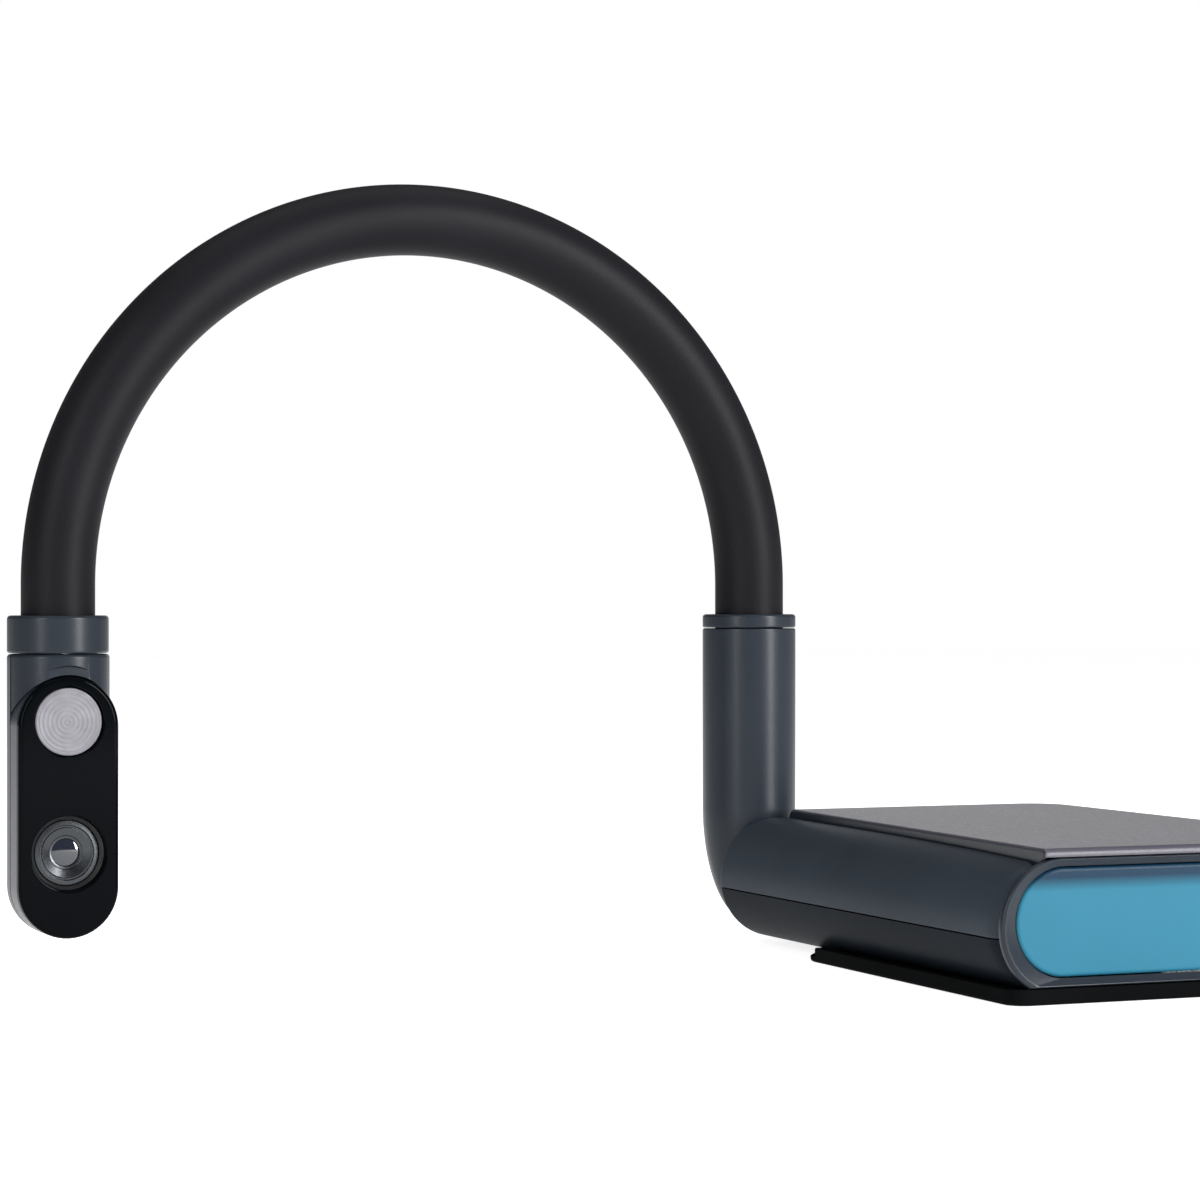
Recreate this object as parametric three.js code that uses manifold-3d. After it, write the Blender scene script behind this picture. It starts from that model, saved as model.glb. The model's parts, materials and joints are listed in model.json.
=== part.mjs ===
// Desktop video magnifier: a book-shaped base, a post that folds about the base's round spine,
// a rubber-covered gooseneck arch and a camera head that turns on the end of it.
// Millimetres, +X to the right, +Y towards the back, +Z up.
// The origin is the middle of the foot plate's underside.

import * as THREE from 'three';
import { mergeVertices } from 'three/addons/utils/BufferGeometryUtils.js';
import Module from 'manifold-3d';

const wasm = await Module();
wasm.setup();

// ---- driving dimensions ---------------------------------------------------------------------

const GAP = 0.3;                 // clearance between neighbouring pieces
const WALL = 2.2;                // wall of the moulded housings
const OVERRUN = 1;               // cutters and bosses run this far past the face they start from
const SMOOTH = 12;               // sides of a half circle on the large round shapes

const BASE_WIDTH = 132;
const BASE_DEPTH = 200;
const BODY_BOTTOM = 2.2;         // the foot plate lifts the housing this far
const SPINE_RADIUS = 20.5;       // the left long side is a half cylinder
const DECK_TOP = 46;             // the top panel stands above the spine by a small step
const DECK_THICK = 2.5;
const EDGE_RADIUS = 3;           // long edges of the right side
const PLAN_RADIUS = 16;          // upright corners of the right side
const PARTING_Z = 19.5;          // the tray meets the upper covers here
const SEAM_FRONT_X = -52;        // the seam between spine cover and top panel runs
const SEAM_BACK_X = -39;         // slantwise from front to back
const SKIRT_BOTTOM_Z = 40.7;     // the top panel's left edge turns down this far
const SEAM = 0.6;                // width of that seam

const BEZEL_DEPTH = 3;           // front bezel, along Y
const BEZEL_GROOVE = 0.9;        // shadow groove behind the bezel
const BEZEL_PLUG = 5;            // skirt that plugs into the housing
const BEZEL_FOOT_Z = 5.2;        // the bezel ends here, above the foot plate's front edge
const END_PANEL = { left: -60.5, low: 7.7, high: 40.6, right: 50 };
const END_PANEL_RECESS = 2;
const END_PANEL_THICK = 1.8;

const FOOT_INSET = 4;
const FOOT_FRONT_INSET = 0.8;
const FOOT_NOTCH = { x: -18, y: 36 };   // the plate stops here, short of the elbow
const FOOT_RADIUS = 6;
const FOOT_RIM = { width: 3.4, height: 4.9 };   // raised edge at the front and under the spine

const POST_RADIUS = 16.4;
const POST_GAP = 2.1;            // air between the spine's end and the post
const POST_DOME = 40;            // height of the rounded lower end
const POST_SHOULDER_Z = 45.6;
const COLLAR_Z = 109.3;
const COLLAR_TOP_Z = 114;
const COLLAR_EDGE = 1;           // bevel round a collar's outer rim
const COLLAR_LIP = 0.8;          // bevel round a collar's mouth

const NECK_RADIUS = 12;          // gooseneck over its rubber sleeve
const ARCH_RADIUS = 124;         // centreline of the arch at rest
const ARCH_Z = 124;              // the arch's centre, level with the end of its straight leads
const LINKS = 10;                // stiff lengths that the bending arm is divided into
const LINK_GAP = 2.6;            // room for neighbouring lengths to turn
const LEAD_DEPTH = 11;           // how far the gooseneck enters each collar

const HEAD_HALF_WIDTH = 16.4;
const HEAD_BOTTOM_Z = 10;
const HEAD_TOP_Z = 101.5;
const HEAD_FACE_TOP_Z = 94.6;
const HEAD_FRONT = 16;           // face plate's front, measured forward of the head's axis
const FACE_THICK = 2.5;
const HEAD_PARTING = 3;          // rear shell meets the front frame here, forward of the axis
const LED_Z = 79.8;
const LED_RADIUS = 11;
const LENS_Z = 37.5;
const LENS_WINDOW_RADIUS = 12;
const LENS_RING_RADIUS = 10.6;
const LENS_RECESS = 4;

const PANEL = { x0: 24, x1: 62, y0: -94, y1: -64, radius: 3 };   // control panel on the top
const BUTTON_RISE = 1.2;

// ---- derived places -------------------------------------------------------------------------

const LEFT = -BASE_WIDTH / 2;
const RIGHT = BASE_WIDTH / 2;
const FRONT = -BASE_DEPTH / 2;
const BACK = BASE_DEPTH / 2;
const SPINE_X = LEFT + SPINE_RADIUS;
const SPINE_Z = BODY_BOTTOM + SPINE_RADIUS;
const BODY_TOP = SPINE_Z + SPINE_RADIUS;
const POST_Y = BACK + POST_GAP + POST_RADIUS;
const HEAD_X = SPINE_X - 2 * ARCH_RADIUS;
const FACE_Y = POST_Y - HEAD_FRONT;
const PARTING_Y = POST_Y - HEAD_PARTING;
const HOUSING_FRONT = FRONT + BEZEL_DEPTH + BEZEL_GROOVE;

// ---- materials ------------------------------------------------------------------------------

const finish = (color, roughness, metalness = 0) =>
  new THREE.MeshStandardMaterial({ color, roughness, metalness });

const SLATE = finish(0x343a42, 0.5);
const GLOSS_GREY = finish(0x6c6c74, 0.18);
const BLUE = finish(0x2f8db4, 0.35);
const BLACK_RUBBER = finish(0x1c1b1e, 0.8);
const SLEEVE = finish(0x242329, 0.62);
const GLOSS_BLACK = finish(0x07090b, 0.08);
const DIFFUSER = finish(0xc9c7cc, 0.6);
const SILVER = finish(0x8e9499, 0.3, 0.9);
const STEEL = finish(0x9a9da0, 0.35, 1);
const BOARD_GREEN = finish(0x1d5a35, 0.5);
const GLASS = finish(0x10151c, 0.05);

// ---- shapes ---------------------------------------------------------------------------------

const group = new THREE.Group();

function add(name, geometry, material, parent = group) {
  const mesh = new THREE.Mesh(geometry, material);
  mesh.name = name;
  parent.add(mesh);
  return mesh;
}

function closed(geometry) {
  const bare = geometry.clone();
  bare.deleteAttribute('normal');
  bare.deleteAttribute('uv');
  return mergeVertices(bare, 1e-4);
}

function toSolid(geometry) {
  const bare = closed(geometry);
  const mesh = new wasm.Mesh({
    numProp: 3,
    vertProperties: new Float32Array(bare.attributes.position.array),
    triVerts: new Uint32Array(bare.index.array),
  });
  mesh.merge();
  return new wasm.Manifold(mesh);
}

function toGeometry(solid) {
  const mesh = solid.getMesh();
  const geometry = new THREE.BufferGeometry();
  geometry.setAttribute('position', new THREE.BufferAttribute(mesh.vertProperties, 3));
  geometry.setIndex(new THREE.BufferAttribute(mesh.triVerts, 1));
  return geometry;
}

// combine(base).cut(a, b).join(c).keep(d).done() reads as the steps made on one piece
function combine(geometry) {
  let solid = toSolid(geometry);
  const steps = {
    cut: (...tools) => {
      for (const tool of tools) solid = solid.subtract(toSolid(tool));
      return steps;
    },
    join: (...tools) => {
      for (const tool of tools) solid = solid.add(toSolid(tool));
      return steps;
    },
    keep: (tool) => {
      solid = solid.intersect(toSolid(tool));
      return steps;
    },
    done: () => toGeometry(solid),
  };
  return steps;
}

// A shape drawn in X and Z, drawn out along Y
function alongY(shape, y0, y1, curveSegments = SMOOTH) {
  const depth = y1 - y0;
  const geometry = new THREE.ExtrudeGeometry(shape, { depth, bevelEnabled: false, curveSegments });
  return geometry.rotateX(Math.PI / 2).translate(0, y1, 0);
}

// A shape drawn in X and Y, drawn out along Z
function alongZ(shape, z0, z1, curveSegments = SMOOTH) {
  const depth = z1 - z0;
  const geometry = new THREE.ExtrudeGeometry(shape, { depth, bevelEnabled: false, curveSegments });
  return geometry.translate(0, 0, z0);
}

function box(x0, x1, y0, y1, z0, z1) {
  return new THREE.BoxGeometry(x1 - x0, y1 - y0, z1 - z0)
    .translate((x0 + x1) / 2, (y0 + y1) / 2, (z0 + z1) / 2);
}

// Turned shapes: profile points are [radius, height]
function turnedZ(profile, x, y, segments = SMOOTH * 2) {
  const points = profile.map(([radius, height]) => new THREE.Vector2(radius, height));
  return new THREE.LatheGeometry(points, segments).rotateX(Math.PI / 2).translate(x, y, 0);
}

function turnedY(profile, x, z, segments = SMOOTH * 2) {
  const points = profile.map(([radius, height]) => new THREE.Vector2(radius, height));
  return new THREE.LatheGeometry(points, segments).translate(x, 0, z);
}

const rod = (radius, from, to) => [[0, from], [radius, from], [radius, to], [0, to]];
const tube = (outer, inner, from, to) =>
  [[inner, from], [outer, from], [outer, to], [inner, to], [inner, from]];

function roundedRectangle(x0, x1, y0, y1, radius) {
  const shape = new THREE.Shape();
  shape.absarc(x1 - radius, y0 + radius, radius, -Math.PI / 2, 0, false);
  shape.absarc(x1 - radius, y1 - radius, radius, 0, Math.PI / 2, false);
  shape.absarc(x0 + radius, y1 - radius, radius, Math.PI / 2, Math.PI, false);
  shape.absarc(x0 + radius, y0 + radius, radius, Math.PI, Math.PI * 1.5, false);
  return shape;
}

// The base seen from the front: a half circle on the left, two small corners on the right
function baseSection(inset) {
  const sharpest = 0.6;
  const corner = Math.max(EDGE_RADIUS - inset, sharpest);
  const right = RIGHT - inset - corner;
  const shape = new THREE.Shape();
  shape.absarc(SPINE_X, SPINE_Z, SPINE_RADIUS - inset, Math.PI * 1.5, Math.PI / 2, true);
  shape.absarc(right, BODY_TOP - inset - corner, corner, Math.PI / 2, 0, true);
  shape.absarc(right, BODY_BOTTOM + inset + corner, corner, 0, -Math.PI / 2, true);
  return shape;
}

// The coloured panel in the near end: round on the left, two small corners on the right
function endPanelSection(inset) {
  const { left, low, high, right } = END_PANEL;
  const radius = (high - low) / 2;
  const corner = 2;
  const shape = new THREE.Shape();
  shape.absarc(left + radius, low + radius, radius - inset, Math.PI * 1.5, Math.PI / 2, true);
  shape.absarc(right - corner, high - corner, corner - inset, Math.PI / 2, 0, true);
  shape.absarc(right - corner, low + corner, corner - inset, 0, -Math.PI / 2, true);
  return shape;
}

// The base seen from above: square on the left, two large corners on the right
function basePlan(inset) {
  const radius = PLAN_RADIUS - inset;
  const right = RIGHT - inset;
  const shape = new THREE.Shape();
  shape.moveTo(LEFT + inset, BACK - inset);
  shape.lineTo(LEFT + inset, FRONT + inset);
  shape.absarc(right - radius, FRONT + inset + radius, radius, -Math.PI / 2, 0, false);
  shape.absarc(right - radius, BACK - inset - radius, radius, 0, Math.PI / 2, false);
  return shape;
}

function baseEnvelope(inset) {
  return combine(alongY(baseSection(inset), FRONT + inset, BACK - inset))
    .keep(alongZ(basePlan(inset), 0, BODY_TOP + OVERRUN, SMOOTH / 2))
    .done();
}

// The raised deck of the top panel, before its left edge is trimmed to the seam
function deckEnvelope(inset, bottom) {
  return combine(box(LEFT, RIGHT, FRONT, BACK, bottom, DECK_TOP - inset))
    .keep(alongZ(basePlan(inset), 0, DECK_TOP + OVERRUN, SMOOTH / 2))
    .done();
}

function stadium(x, halfWidth, bottom, top) {
  const shape = new THREE.Shape();
  shape.absarc(x, bottom + halfWidth, halfWidth, Math.PI, Math.PI * 2, false);
  shape.absarc(x, top - halfWidth, halfWidth, 0, Math.PI, false);
  return shape;
}

// ---- base: housing --------------------------------------------------------------------------

const SCREW_PLACES = [[14, -82], [46, 78], [-34, -80], [-34, 16]];
const SCREW_SEAT_Z = 7;
const SCREW_RADIUS = 1.5;
const SCREW_LENGTH = 16;
const SCREW_HEAD_RADIUS = 3;
const SCREW_HEAD_THICK = 2;
const SCREW_HEAD_ROOM = 0.4;
const BOSS_SPLIT_Z = 13;         // the tray's bosses end here and the top panel's begin
const TRAY_BOSS_RADIUS = 5;
const TOP_BOSS_RADIUS = 4.5;
const PILOT_DEPTH = 14;
const BOARD = { x0: -14, x1: 58, y0: -36, y1: 88, z: 20, thick: 1.6, bossHole: 5.5 };
const BOARD_POSTS = [[-11, -30], [-11, 80], [55, -30], [55, 72]];
const BOARD_POST_RADIUS = 2.4;
const BALLAST = { x0: -7, x1: 51, y0: -92, y1: 92, z: BODY_BOTTOM + WALL + GAP, thick: 7, bossHole: 6 };
const HEAT_SINK = { x: 22, y: 10, half: 11, base: 3, height: 10, fins: 5, finThick: 1.4, margin: 1.5 };
const REAR_PANEL = { x0: -17, x1: 47, z0: 15, z1: 38, socketMargin: 0.5 };

// Sockets on the board's back edge: width and height of the mouth, and of the body around it
const SOCKETS = [
  { name: 'usb_socket', x: -4, mouth: [8.6, 7.8], body: [12, 11], depth: 14 },
  { name: 'video_socket', x: 16, mouth: [15.2, 5.8], body: [18, 8.4], depth: 11 },
  { name: 'power_inlet', x: 36, mouth: [6.6, 6.6], body: [10, 10.4], depth: 12, round: true },
];
const SOCKET_BACK_WALL = 2;

function seamSide(left, offset) {
  const slope = (SEAM_BACK_X - SEAM_FRONT_X) / BASE_DEPTH;
  const reach = 10;
  const nearX = SEAM_FRONT_X - slope * reach + offset;
  const farX = SEAM_BACK_X + slope * reach + offset;
  const outerX = left ? LEFT - reach : RIGHT + reach;
  const shape = new THREE.Shape();
  shape.moveTo(nearX, FRONT - reach);
  shape.lineTo(farX, BACK + reach);
  shape.lineTo(outerX, BACK + reach);
  shape.lineTo(outerX, FRONT - reach);
  return alongZ(shape, PARTING_Z, DECK_TOP + OVERRUN);
}

function socketMouth(socket, clearance, y0, y1) {
  const centreZ = BOARD.z + BOARD.thick + GAP + socket.body[1] / 2;
  if (socket.round) {
    return turnedY(rod(socket.mouth[0] / 2 + clearance, y0, y1), socket.x, centreZ, SMOOTH);
  }
  const halfWidth = socket.mouth[0] / 2 + clearance;
  const halfHeight = socket.mouth[1] / 2 + clearance;
  return box(socket.x - halfWidth, socket.x + halfWidth, y0, y1,
    centreZ - halfHeight, centreZ + halfHeight);
}

// Everything in front of the plane at y, or above or below the plane at z
function inFrontOf(y) {
  const reach = 10;
  return box(LEFT - reach, RIGHT + reach, FRONT - reach, y, 0, BODY_TOP + reach);
}

function above(z) {
  const reach = 10;
  return box(LEFT - reach, RIGHT + reach, FRONT - reach, BACK + reach, z, DECK_TOP + reach);
}

function below(z) {
  const reach = 10;
  return box(LEFT - reach, RIGHT + reach, FRONT - reach, BACK + reach, BODY_BOTTOM - reach, z);
}

function buildHousing() {
  const shell = () => combine(baseEnvelope(0)).cut(baseEnvelope(WALL));
  const backWall = [BACK - WALL - OVERRUN, BACK + OVERRUN];
  const hingeHole = turnedY(rod(SPINE_RADIUS - WALL, ...backWall), SPINE_X, SPINE_Z);
  const rearHole = box(REAR_PANEL.x0 - GAP, REAR_PANEL.x1 + GAP, ...backWall,
    REAR_PANEL.z0 - GAP, REAR_PANEL.z1 + GAP);

  const tray = shell().cut(above(PARTING_Z - GAP / 2), inFrontOf(HOUSING_FRONT), hingeHole, rearHole);
  for (const [x, y] of SCREW_PLACES) {
    const headHole = rod(SCREW_HEAD_RADIUS + SCREW_HEAD_ROOM, 0, SCREW_SEAT_Z);
    const shankHole = rod(SCREW_RADIUS + GAP, 0, BOSS_SPLIT_Z + OVERRUN);
    tray.join(turnedZ(rod(TRAY_BOSS_RADIUS, BODY_BOTTOM + OVERRUN, BOSS_SPLIT_Z - GAP), x, y, SMOOTH));
    tray.cut(turnedZ(headHole, x, y, SMOOTH), turnedZ(shankHole, x, y, SMOOTH / 2));
  }
  for (const [x, y] of BOARD_POSTS) {
    tray.join(turnedZ(rod(BOARD_POST_RADIUS, BODY_BOTTOM + OVERRUN, BOARD.z - GAP), x, y, SMOOTH / 2));
  }
  add('base_tray', tray.done(), SLATE);

  const cover = shell()
    .cut(below(PARTING_Z + GAP / 2), inFrontOf(HOUSING_FRONT), hingeHole)
    .keep(seamSide(true, -SEAM / 2))
    .done();
  add('spine_cover', cover, SLATE);

  const trimmed = (inset, offset, bottom) =>
    combine(deckEnvelope(inset, bottom)).keep(seamSide(false, offset));
  const deckBottom = DECK_TOP - DECK_THICK;
  const deckRoof = trimmed(0, SEAM / 2, SKIRT_BOTTOM_Z)
    .cut(box(LEFT, RIGHT, FRONT - OVERRUN, HOUSING_FRONT, 0, deckBottom))
    .done();
  const deckRoom = trimmed(WALL, SEAM / 2 + WALL, SKIRT_BOTTOM_Z - OVERRUN)
    .keep(box(LEFT, RIGHT, HOUSING_FRONT - OVERRUN, BACK, 0, DECK_TOP))
    .cut(box(LEFT, RIGHT, FRONT, HOUSING_FRONT, deckBottom, DECK_TOP))
    .done();
  const top = shell()
    .cut(below(PARTING_Z + GAP / 2), inFrontOf(HOUSING_FRONT), hingeHole, rearHole)
    .keep(seamSide(false, SEAM / 2))
    .join(deckRoof)
    .cut(deckRoom);
  for (const [x, y] of SCREW_PLACES) {
    const pilot = rod(SCREW_RADIUS + GAP, BOSS_SPLIT_Z - OVERRUN, BOSS_SPLIT_Z + PILOT_DEPTH);
    top.join(turnedZ(rod(TOP_BOSS_RADIUS, BOSS_SPLIT_Z, DECK_TOP - OVERRUN), x, y, SMOOTH));
    top.cut(turnedZ(pilot, x, y, SMOOTH / 2));
  }
  const panelHole = roundedRectangle(PANEL.x0 - GAP, PANEL.x1 + GAP, PANEL.y0 - GAP, PANEL.y1 + GAP,
    PANEL.radius + GAP);
  top.cut(alongZ(panelHole, DECK_TOP - 2 * WALL, DECK_TOP + OVERRUN, SMOOTH / 2));
  add('top_panel', top.done(), GLOSS_GREY);

  SCREW_PLACES.forEach(([x, y], index) => {
    const top = SCREW_SEAT_Z - GAP;
    const bottom = top - SCREW_HEAD_THICK;
    const profile = [[0, bottom], [SCREW_HEAD_RADIUS, bottom], [SCREW_HEAD_RADIUS, top],
      [SCREW_RADIUS, top], [SCREW_RADIUS, top + SCREW_LENGTH], [0, top + SCREW_LENGTH]];
    add(`case_screw_${index + 1}`, turnedZ(profile, x, y, SMOOTH / 2), STEEL);
  });
}

// A slab with its far left corner cut away and a raised edge at the front and under the spine
function buildFoot() {
  const left = LEFT + FOOT_INSET;
  const right = RIGHT - FOOT_INSET;
  const near = FRONT + FOOT_FRONT_INSET;
  const far = BACK - FOOT_INSET;
  const r = FOOT_RADIUS;
  const outline = new THREE.Shape();
  outline.absarc(left + r, near + r, r, Math.PI, Math.PI * 1.5, false);
  outline.absarc(right - r, near + r, r, -Math.PI / 2, 0, false);
  outline.absarc(right - r, far - r, r, 0, Math.PI / 2, false);
  outline.absarc(FOOT_NOTCH.x + r, far - r, r, Math.PI / 2, Math.PI, false);
  outline.absarc(left + r, FOOT_NOTCH.y - r, r, Math.PI / 2, Math.PI, false);
  const frontEdge = box(left, right, near, FRONT + BEZEL_DEPTH - GAP, 0, FOOT_RIM.height);
  const sideEdge = box(left, left + FOOT_RIM.width, near, FOOT_NOTCH.y - r, 0, FOOT_RIM.height);
  const rim = combine(alongZ(outline, 0, FOOT_RIM.height, SMOOTH / 2))
    .keep(combine(frontEdge).join(sideEdge).done())
    .done();
  const foot = combine(alongZ(outline, 0, BODY_BOTTOM - GAP, SMOOTH / 2)).join(rim);
  for (const [x, y] of SCREW_PLACES) {
    foot.cut(turnedZ(rod(SCREW_HEAD_RADIUS + OVERRUN, -OVERRUN, BODY_BOTTOM), x, y, SMOOTH / 2));
  }
  add('foot_plate', foot.done(), BLACK_RUBBER);
}

// ---- base: front end, back end, insides -----------------------------------------------------

function buildFrontEnd() {
  const bezelBack = FRONT + BEZEL_DEPTH;
  const reach = 10;
  const cornerKeeper = alongZ(basePlan(0), 0, BODY_TOP + OVERRUN, SMOOTH / 2);
  const plugKeeper = alongZ(basePlan(WALL + GAP), 0, BODY_TOP + OVERRUN, SMOOTH / 2);
  const opening = alongY(endPanelSection(0), FRONT - reach, FRONT + 2 * reach);
  const skirt = combine(alongY(baseSection(WALL + GAP), FRONT + OVERRUN, bezelBack + BEZEL_PLUG))
    .keep(combine(plugKeeper).join(box(LEFT, SPINE_X, FRONT, 0, 0, BODY_TOP)).done())
    .done();
  const bezel = combine(alongY(baseSection(0), FRONT, bezelBack))
    .keep(cornerKeeper)
    .join(skirt)
    .cut(opening)
    .cut(box(LEFT - reach, RIGHT + reach, FRONT - reach, bezelBack + GAP, 0, BEZEL_FOOT_Z))
    .done();
  add('front_bezel', bezel, SLATE);

  const panelFront = FRONT + END_PANEL_RECESS;
  const panel = alongY(endPanelSection(GAP), panelFront, panelFront + END_PANEL_THICK);
  add('blue_end_panel', panel, BLUE);
}

function buildRearEnd() {
  const { x0, x1, z0, z1 } = REAR_PANEL;
  const panel = combine(box(x0, x1, BACK - WALL, BACK - GAP, z0, z1));
  for (const socket of SOCKETS) {
    panel.cut(socketMouth(socket, REAR_PANEL.socketMargin, BACK - WALL - OVERRUN, BACK + OVERRUN));
  }
  add('port_panel', panel.done(), GLOSS_BLACK);

  for (const socket of SOCKETS) {
    const back = BACK - WALL - GAP;
    const front = back - socket.depth;
    const [width, height] = socket.body;
    const z = BOARD.z + BOARD.thick + GAP;
    const body = combine(box(socket.x - width / 2, socket.x + width / 2, front, back, z, z + height))
      .cut(socketMouth(socket, 0, front + SOCKET_BACK_WALL, back + OVERRUN))
      .done();
    add(socket.name, body, socket.round ? GLOSS_BLACK : STEEL);
  }
}

function buildInsides() {
  const ballast = combine(box(BALLAST.x0, BALLAST.x1, BALLAST.y0, BALLAST.y1,
    BALLAST.z, BALLAST.z + BALLAST.thick));
  for (const [x, y] of SCREW_PLACES) {
    ballast.cut(turnedZ(rod(BALLAST.bossHole, 0, BODY_TOP), x, y, SMOOTH / 2));
  }
  add('ballast_plate', ballast.done(), STEEL);

  const [bossX, bossY] = SCREW_PLACES[1];
  const boardTop = BOARD.z + BOARD.thick;
  const board = combine(box(BOARD.x0, BOARD.x1, BOARD.y0, BOARD.y1, BOARD.z, boardTop))
    .cut(turnedZ(rod(BOARD.bossHole, 0, BODY_TOP), bossX, bossY, SMOOTH / 2))
    .done();
  add('main_board', board, BOARD_GREEN);

  const { x, y, half, base, height, fins, finThick, margin } = HEAT_SINK;
  const sinkZ = boardTop + GAP;
  const heatSink = combine(box(x - half, x + half, y - half, y + half, sinkZ, sinkZ + base));
  for (let i = 0; i < fins; i += 1) {
    const finX = x - half + margin + (i * 2 * (half - margin)) / (fins - 1);
    heatSink.join(box(finX - finThick / 2, finX + finThick / 2, y - half, y + half,
      sinkZ + base - OVERRUN, sinkZ + height));
  }
  add('heat_sink', heatSink.done(), SILVER);
}

// ---- base: control panel --------------------------------------------------------------------

const BUTTON_NAMES = ['power_button', 'freeze_button', 'light_button', 'zoom_out_button', 'zoom_in_button'];
const BUTTON = { radius: 3.6, inset: 4.2, flange: 1, bevel: 0.6, travelRoom: 1.2 };
const NEAR_ROW_SHIFT = 0.5;
const KEYPAD_INSET = { left: 2, right: 4, near: 5, far: 1 };

// Three buttons in the far row and two in the near row
function buttonPlaces() {
  const margin = BUTTON.inset + BUTTON.radius;
  const span = PANEL.x1 - PANEL.x0 - 2 * margin;
  const row = (parts, y) => parts.map((part) => [PANEL.x0 + margin + part * span, y]);
  return row([0, 0.5, 1], PANEL.y1 - margin).concat(row([0.25, 0.75], PANEL.y0 + margin + NEAR_ROW_SHIFT));
}

function buildControls() {
  const places = buttonPlaces();
  const { x0, x1, y0, y1 } = PANEL;
  const { radius, flange, bevel } = BUTTON;
  const fasciaBottom = DECK_TOP - WALL;
  const fascia = combine(alongZ(roundedRectangle(x0, x1, y0, y1, PANEL.radius), fasciaBottom,
    DECK_TOP - GAP, SMOOTH / 2));
  places.forEach(([x, y]) => fascia.cut(turnedZ(rod(radius + GAP, 0, DECK_TOP + OVERRUN), x, y, SMOOTH)));
  add('control_fascia', fascia.done(), GLOSS_BLACK);

  const flangeTop = fasciaBottom - GAP;
  const flangeBottom = flangeTop - flange;
  places.forEach(([x, y], index) => {
    const top = DECK_TOP + BUTTON_RISE;
    const profile = [[0, flangeBottom], [radius + flange, flangeBottom], [radius + flange, flangeTop],
      [radius, flangeTop], [radius, top - bevel], [radius - bevel, top], [0, top]];
    add(BUTTON_NAMES[index], turnedZ(profile, x, y, SMOOTH), SILVER);
  });
  const boardTop = flangeBottom - BUTTON.travelRoom;
  const board = box(x0 + KEYPAD_INSET.left, x1 - KEYPAD_INSET.right, y0 + KEYPAD_INSET.near,
    y1 - KEYPAD_INSET.far, boardTop - BOARD.thick, boardTop);
  add('keypad_board', board, BOARD_GREEN);
}

// ---- elbow and post -------------------------------------------------------------------------

const HOUSING_DEPTH = 22;
const HUB_RADIUS = 9;
const HUB_FRONT = BACK + 0.4;
const AXLE_RADIUS = 6;
const AXLE_BORE = 3.5;
const AXLE_BACK = POST_Y - 4;
const AXLE_TAIL = 14;            // beyond the housing, for the washers and the nut
const FRICTION_WASHER = { radius: 10, thick: 1.6 };
const SPRING_WASHER = { radius: 9, thick: 2.4 };
const AXLE_NUT = { radius: 9.5, thick: 5, sides: 6 };
const CORE = { radius: 12.8, low: SPINE_Z + 20, top: 99, bore: 11, boreFloor: 84, wayRadius: 4 };
const WEB = { radius: 8, top: SPINE_Z + 24 };
const CROSS_TUBE_BACK = POST_Y + 5;
const FERRULE = { bore: 8, top: 100.4 };

function buildHinge() {
  const flangeFront = BACK - WALL - 1;
  const flangeRadius = SPINE_RADIUS - WALL - GAP;
  const bore = AXLE_RADIUS + GAP;
  const inner = BACK - HOUSING_DEPTH;
  const housing = [[bore, inner], [HUB_RADIUS, inner], [HUB_RADIUS, flangeFront],
    [flangeRadius, flangeFront], [flangeRadius, BACK], [bore, BACK], [bore, inner]];
  add('hinge_housing', turnedY(housing, SPINE_X, SPINE_Z), SILVER);

  const axle = tube(AXLE_RADIUS, AXLE_BORE, inner - AXLE_TAIL, AXLE_BACK);
  add('hinge_axle', turnedY(axle, SPINE_X, SPINE_Z, SMOOTH), STEEL);

  const washer = ({ radius, thick }, y) =>
    turnedY(tube(radius, bore, y, y + thick), SPINE_X, SPINE_Z, SMOOTH);
  const frictionY = inner - GAP - FRICTION_WASHER.thick;
  const springY = frictionY - GAP - SPRING_WASHER.thick;
  const nutY = springY - GAP - AXLE_NUT.thick;
  add('friction_washer', washer(FRICTION_WASHER, frictionY), GLOSS_BLACK);
  add('spring_washer', washer(SPRING_WASHER, springY), STEEL);
  const nutBack = nutY + AXLE_NUT.thick;
  const nut = combine(turnedY(rod(AXLE_NUT.radius, nutY, nutBack), SPINE_X, SPINE_Z, AXLE_NUT.sides))
    .cut(turnedY(rod(bore, nutY - OVERRUN, nutBack + OVERRUN), SPINE_X, SPINE_Z, SMOOTH))
    .done();
  add('axle_nut', nut, STEEL);
}

// Post outline from its rounded foot up to the collar: an ellipse quarter, then straight
function postProfile(inset, top) {
  const steps = 9;
  const radius = POST_RADIUS - inset;
  const dome = POST_DOME - inset;
  const points = [];
  for (let i = 0; i <= steps; i += 1) {
    const angle = (Math.PI / 2) * (i / steps);
    points.push([radius * Math.sin(angle), POST_SHOULDER_Z - dome * Math.cos(angle)]);
  }
  points.push([radius, top], [0, top]);
  return points;
}

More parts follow.
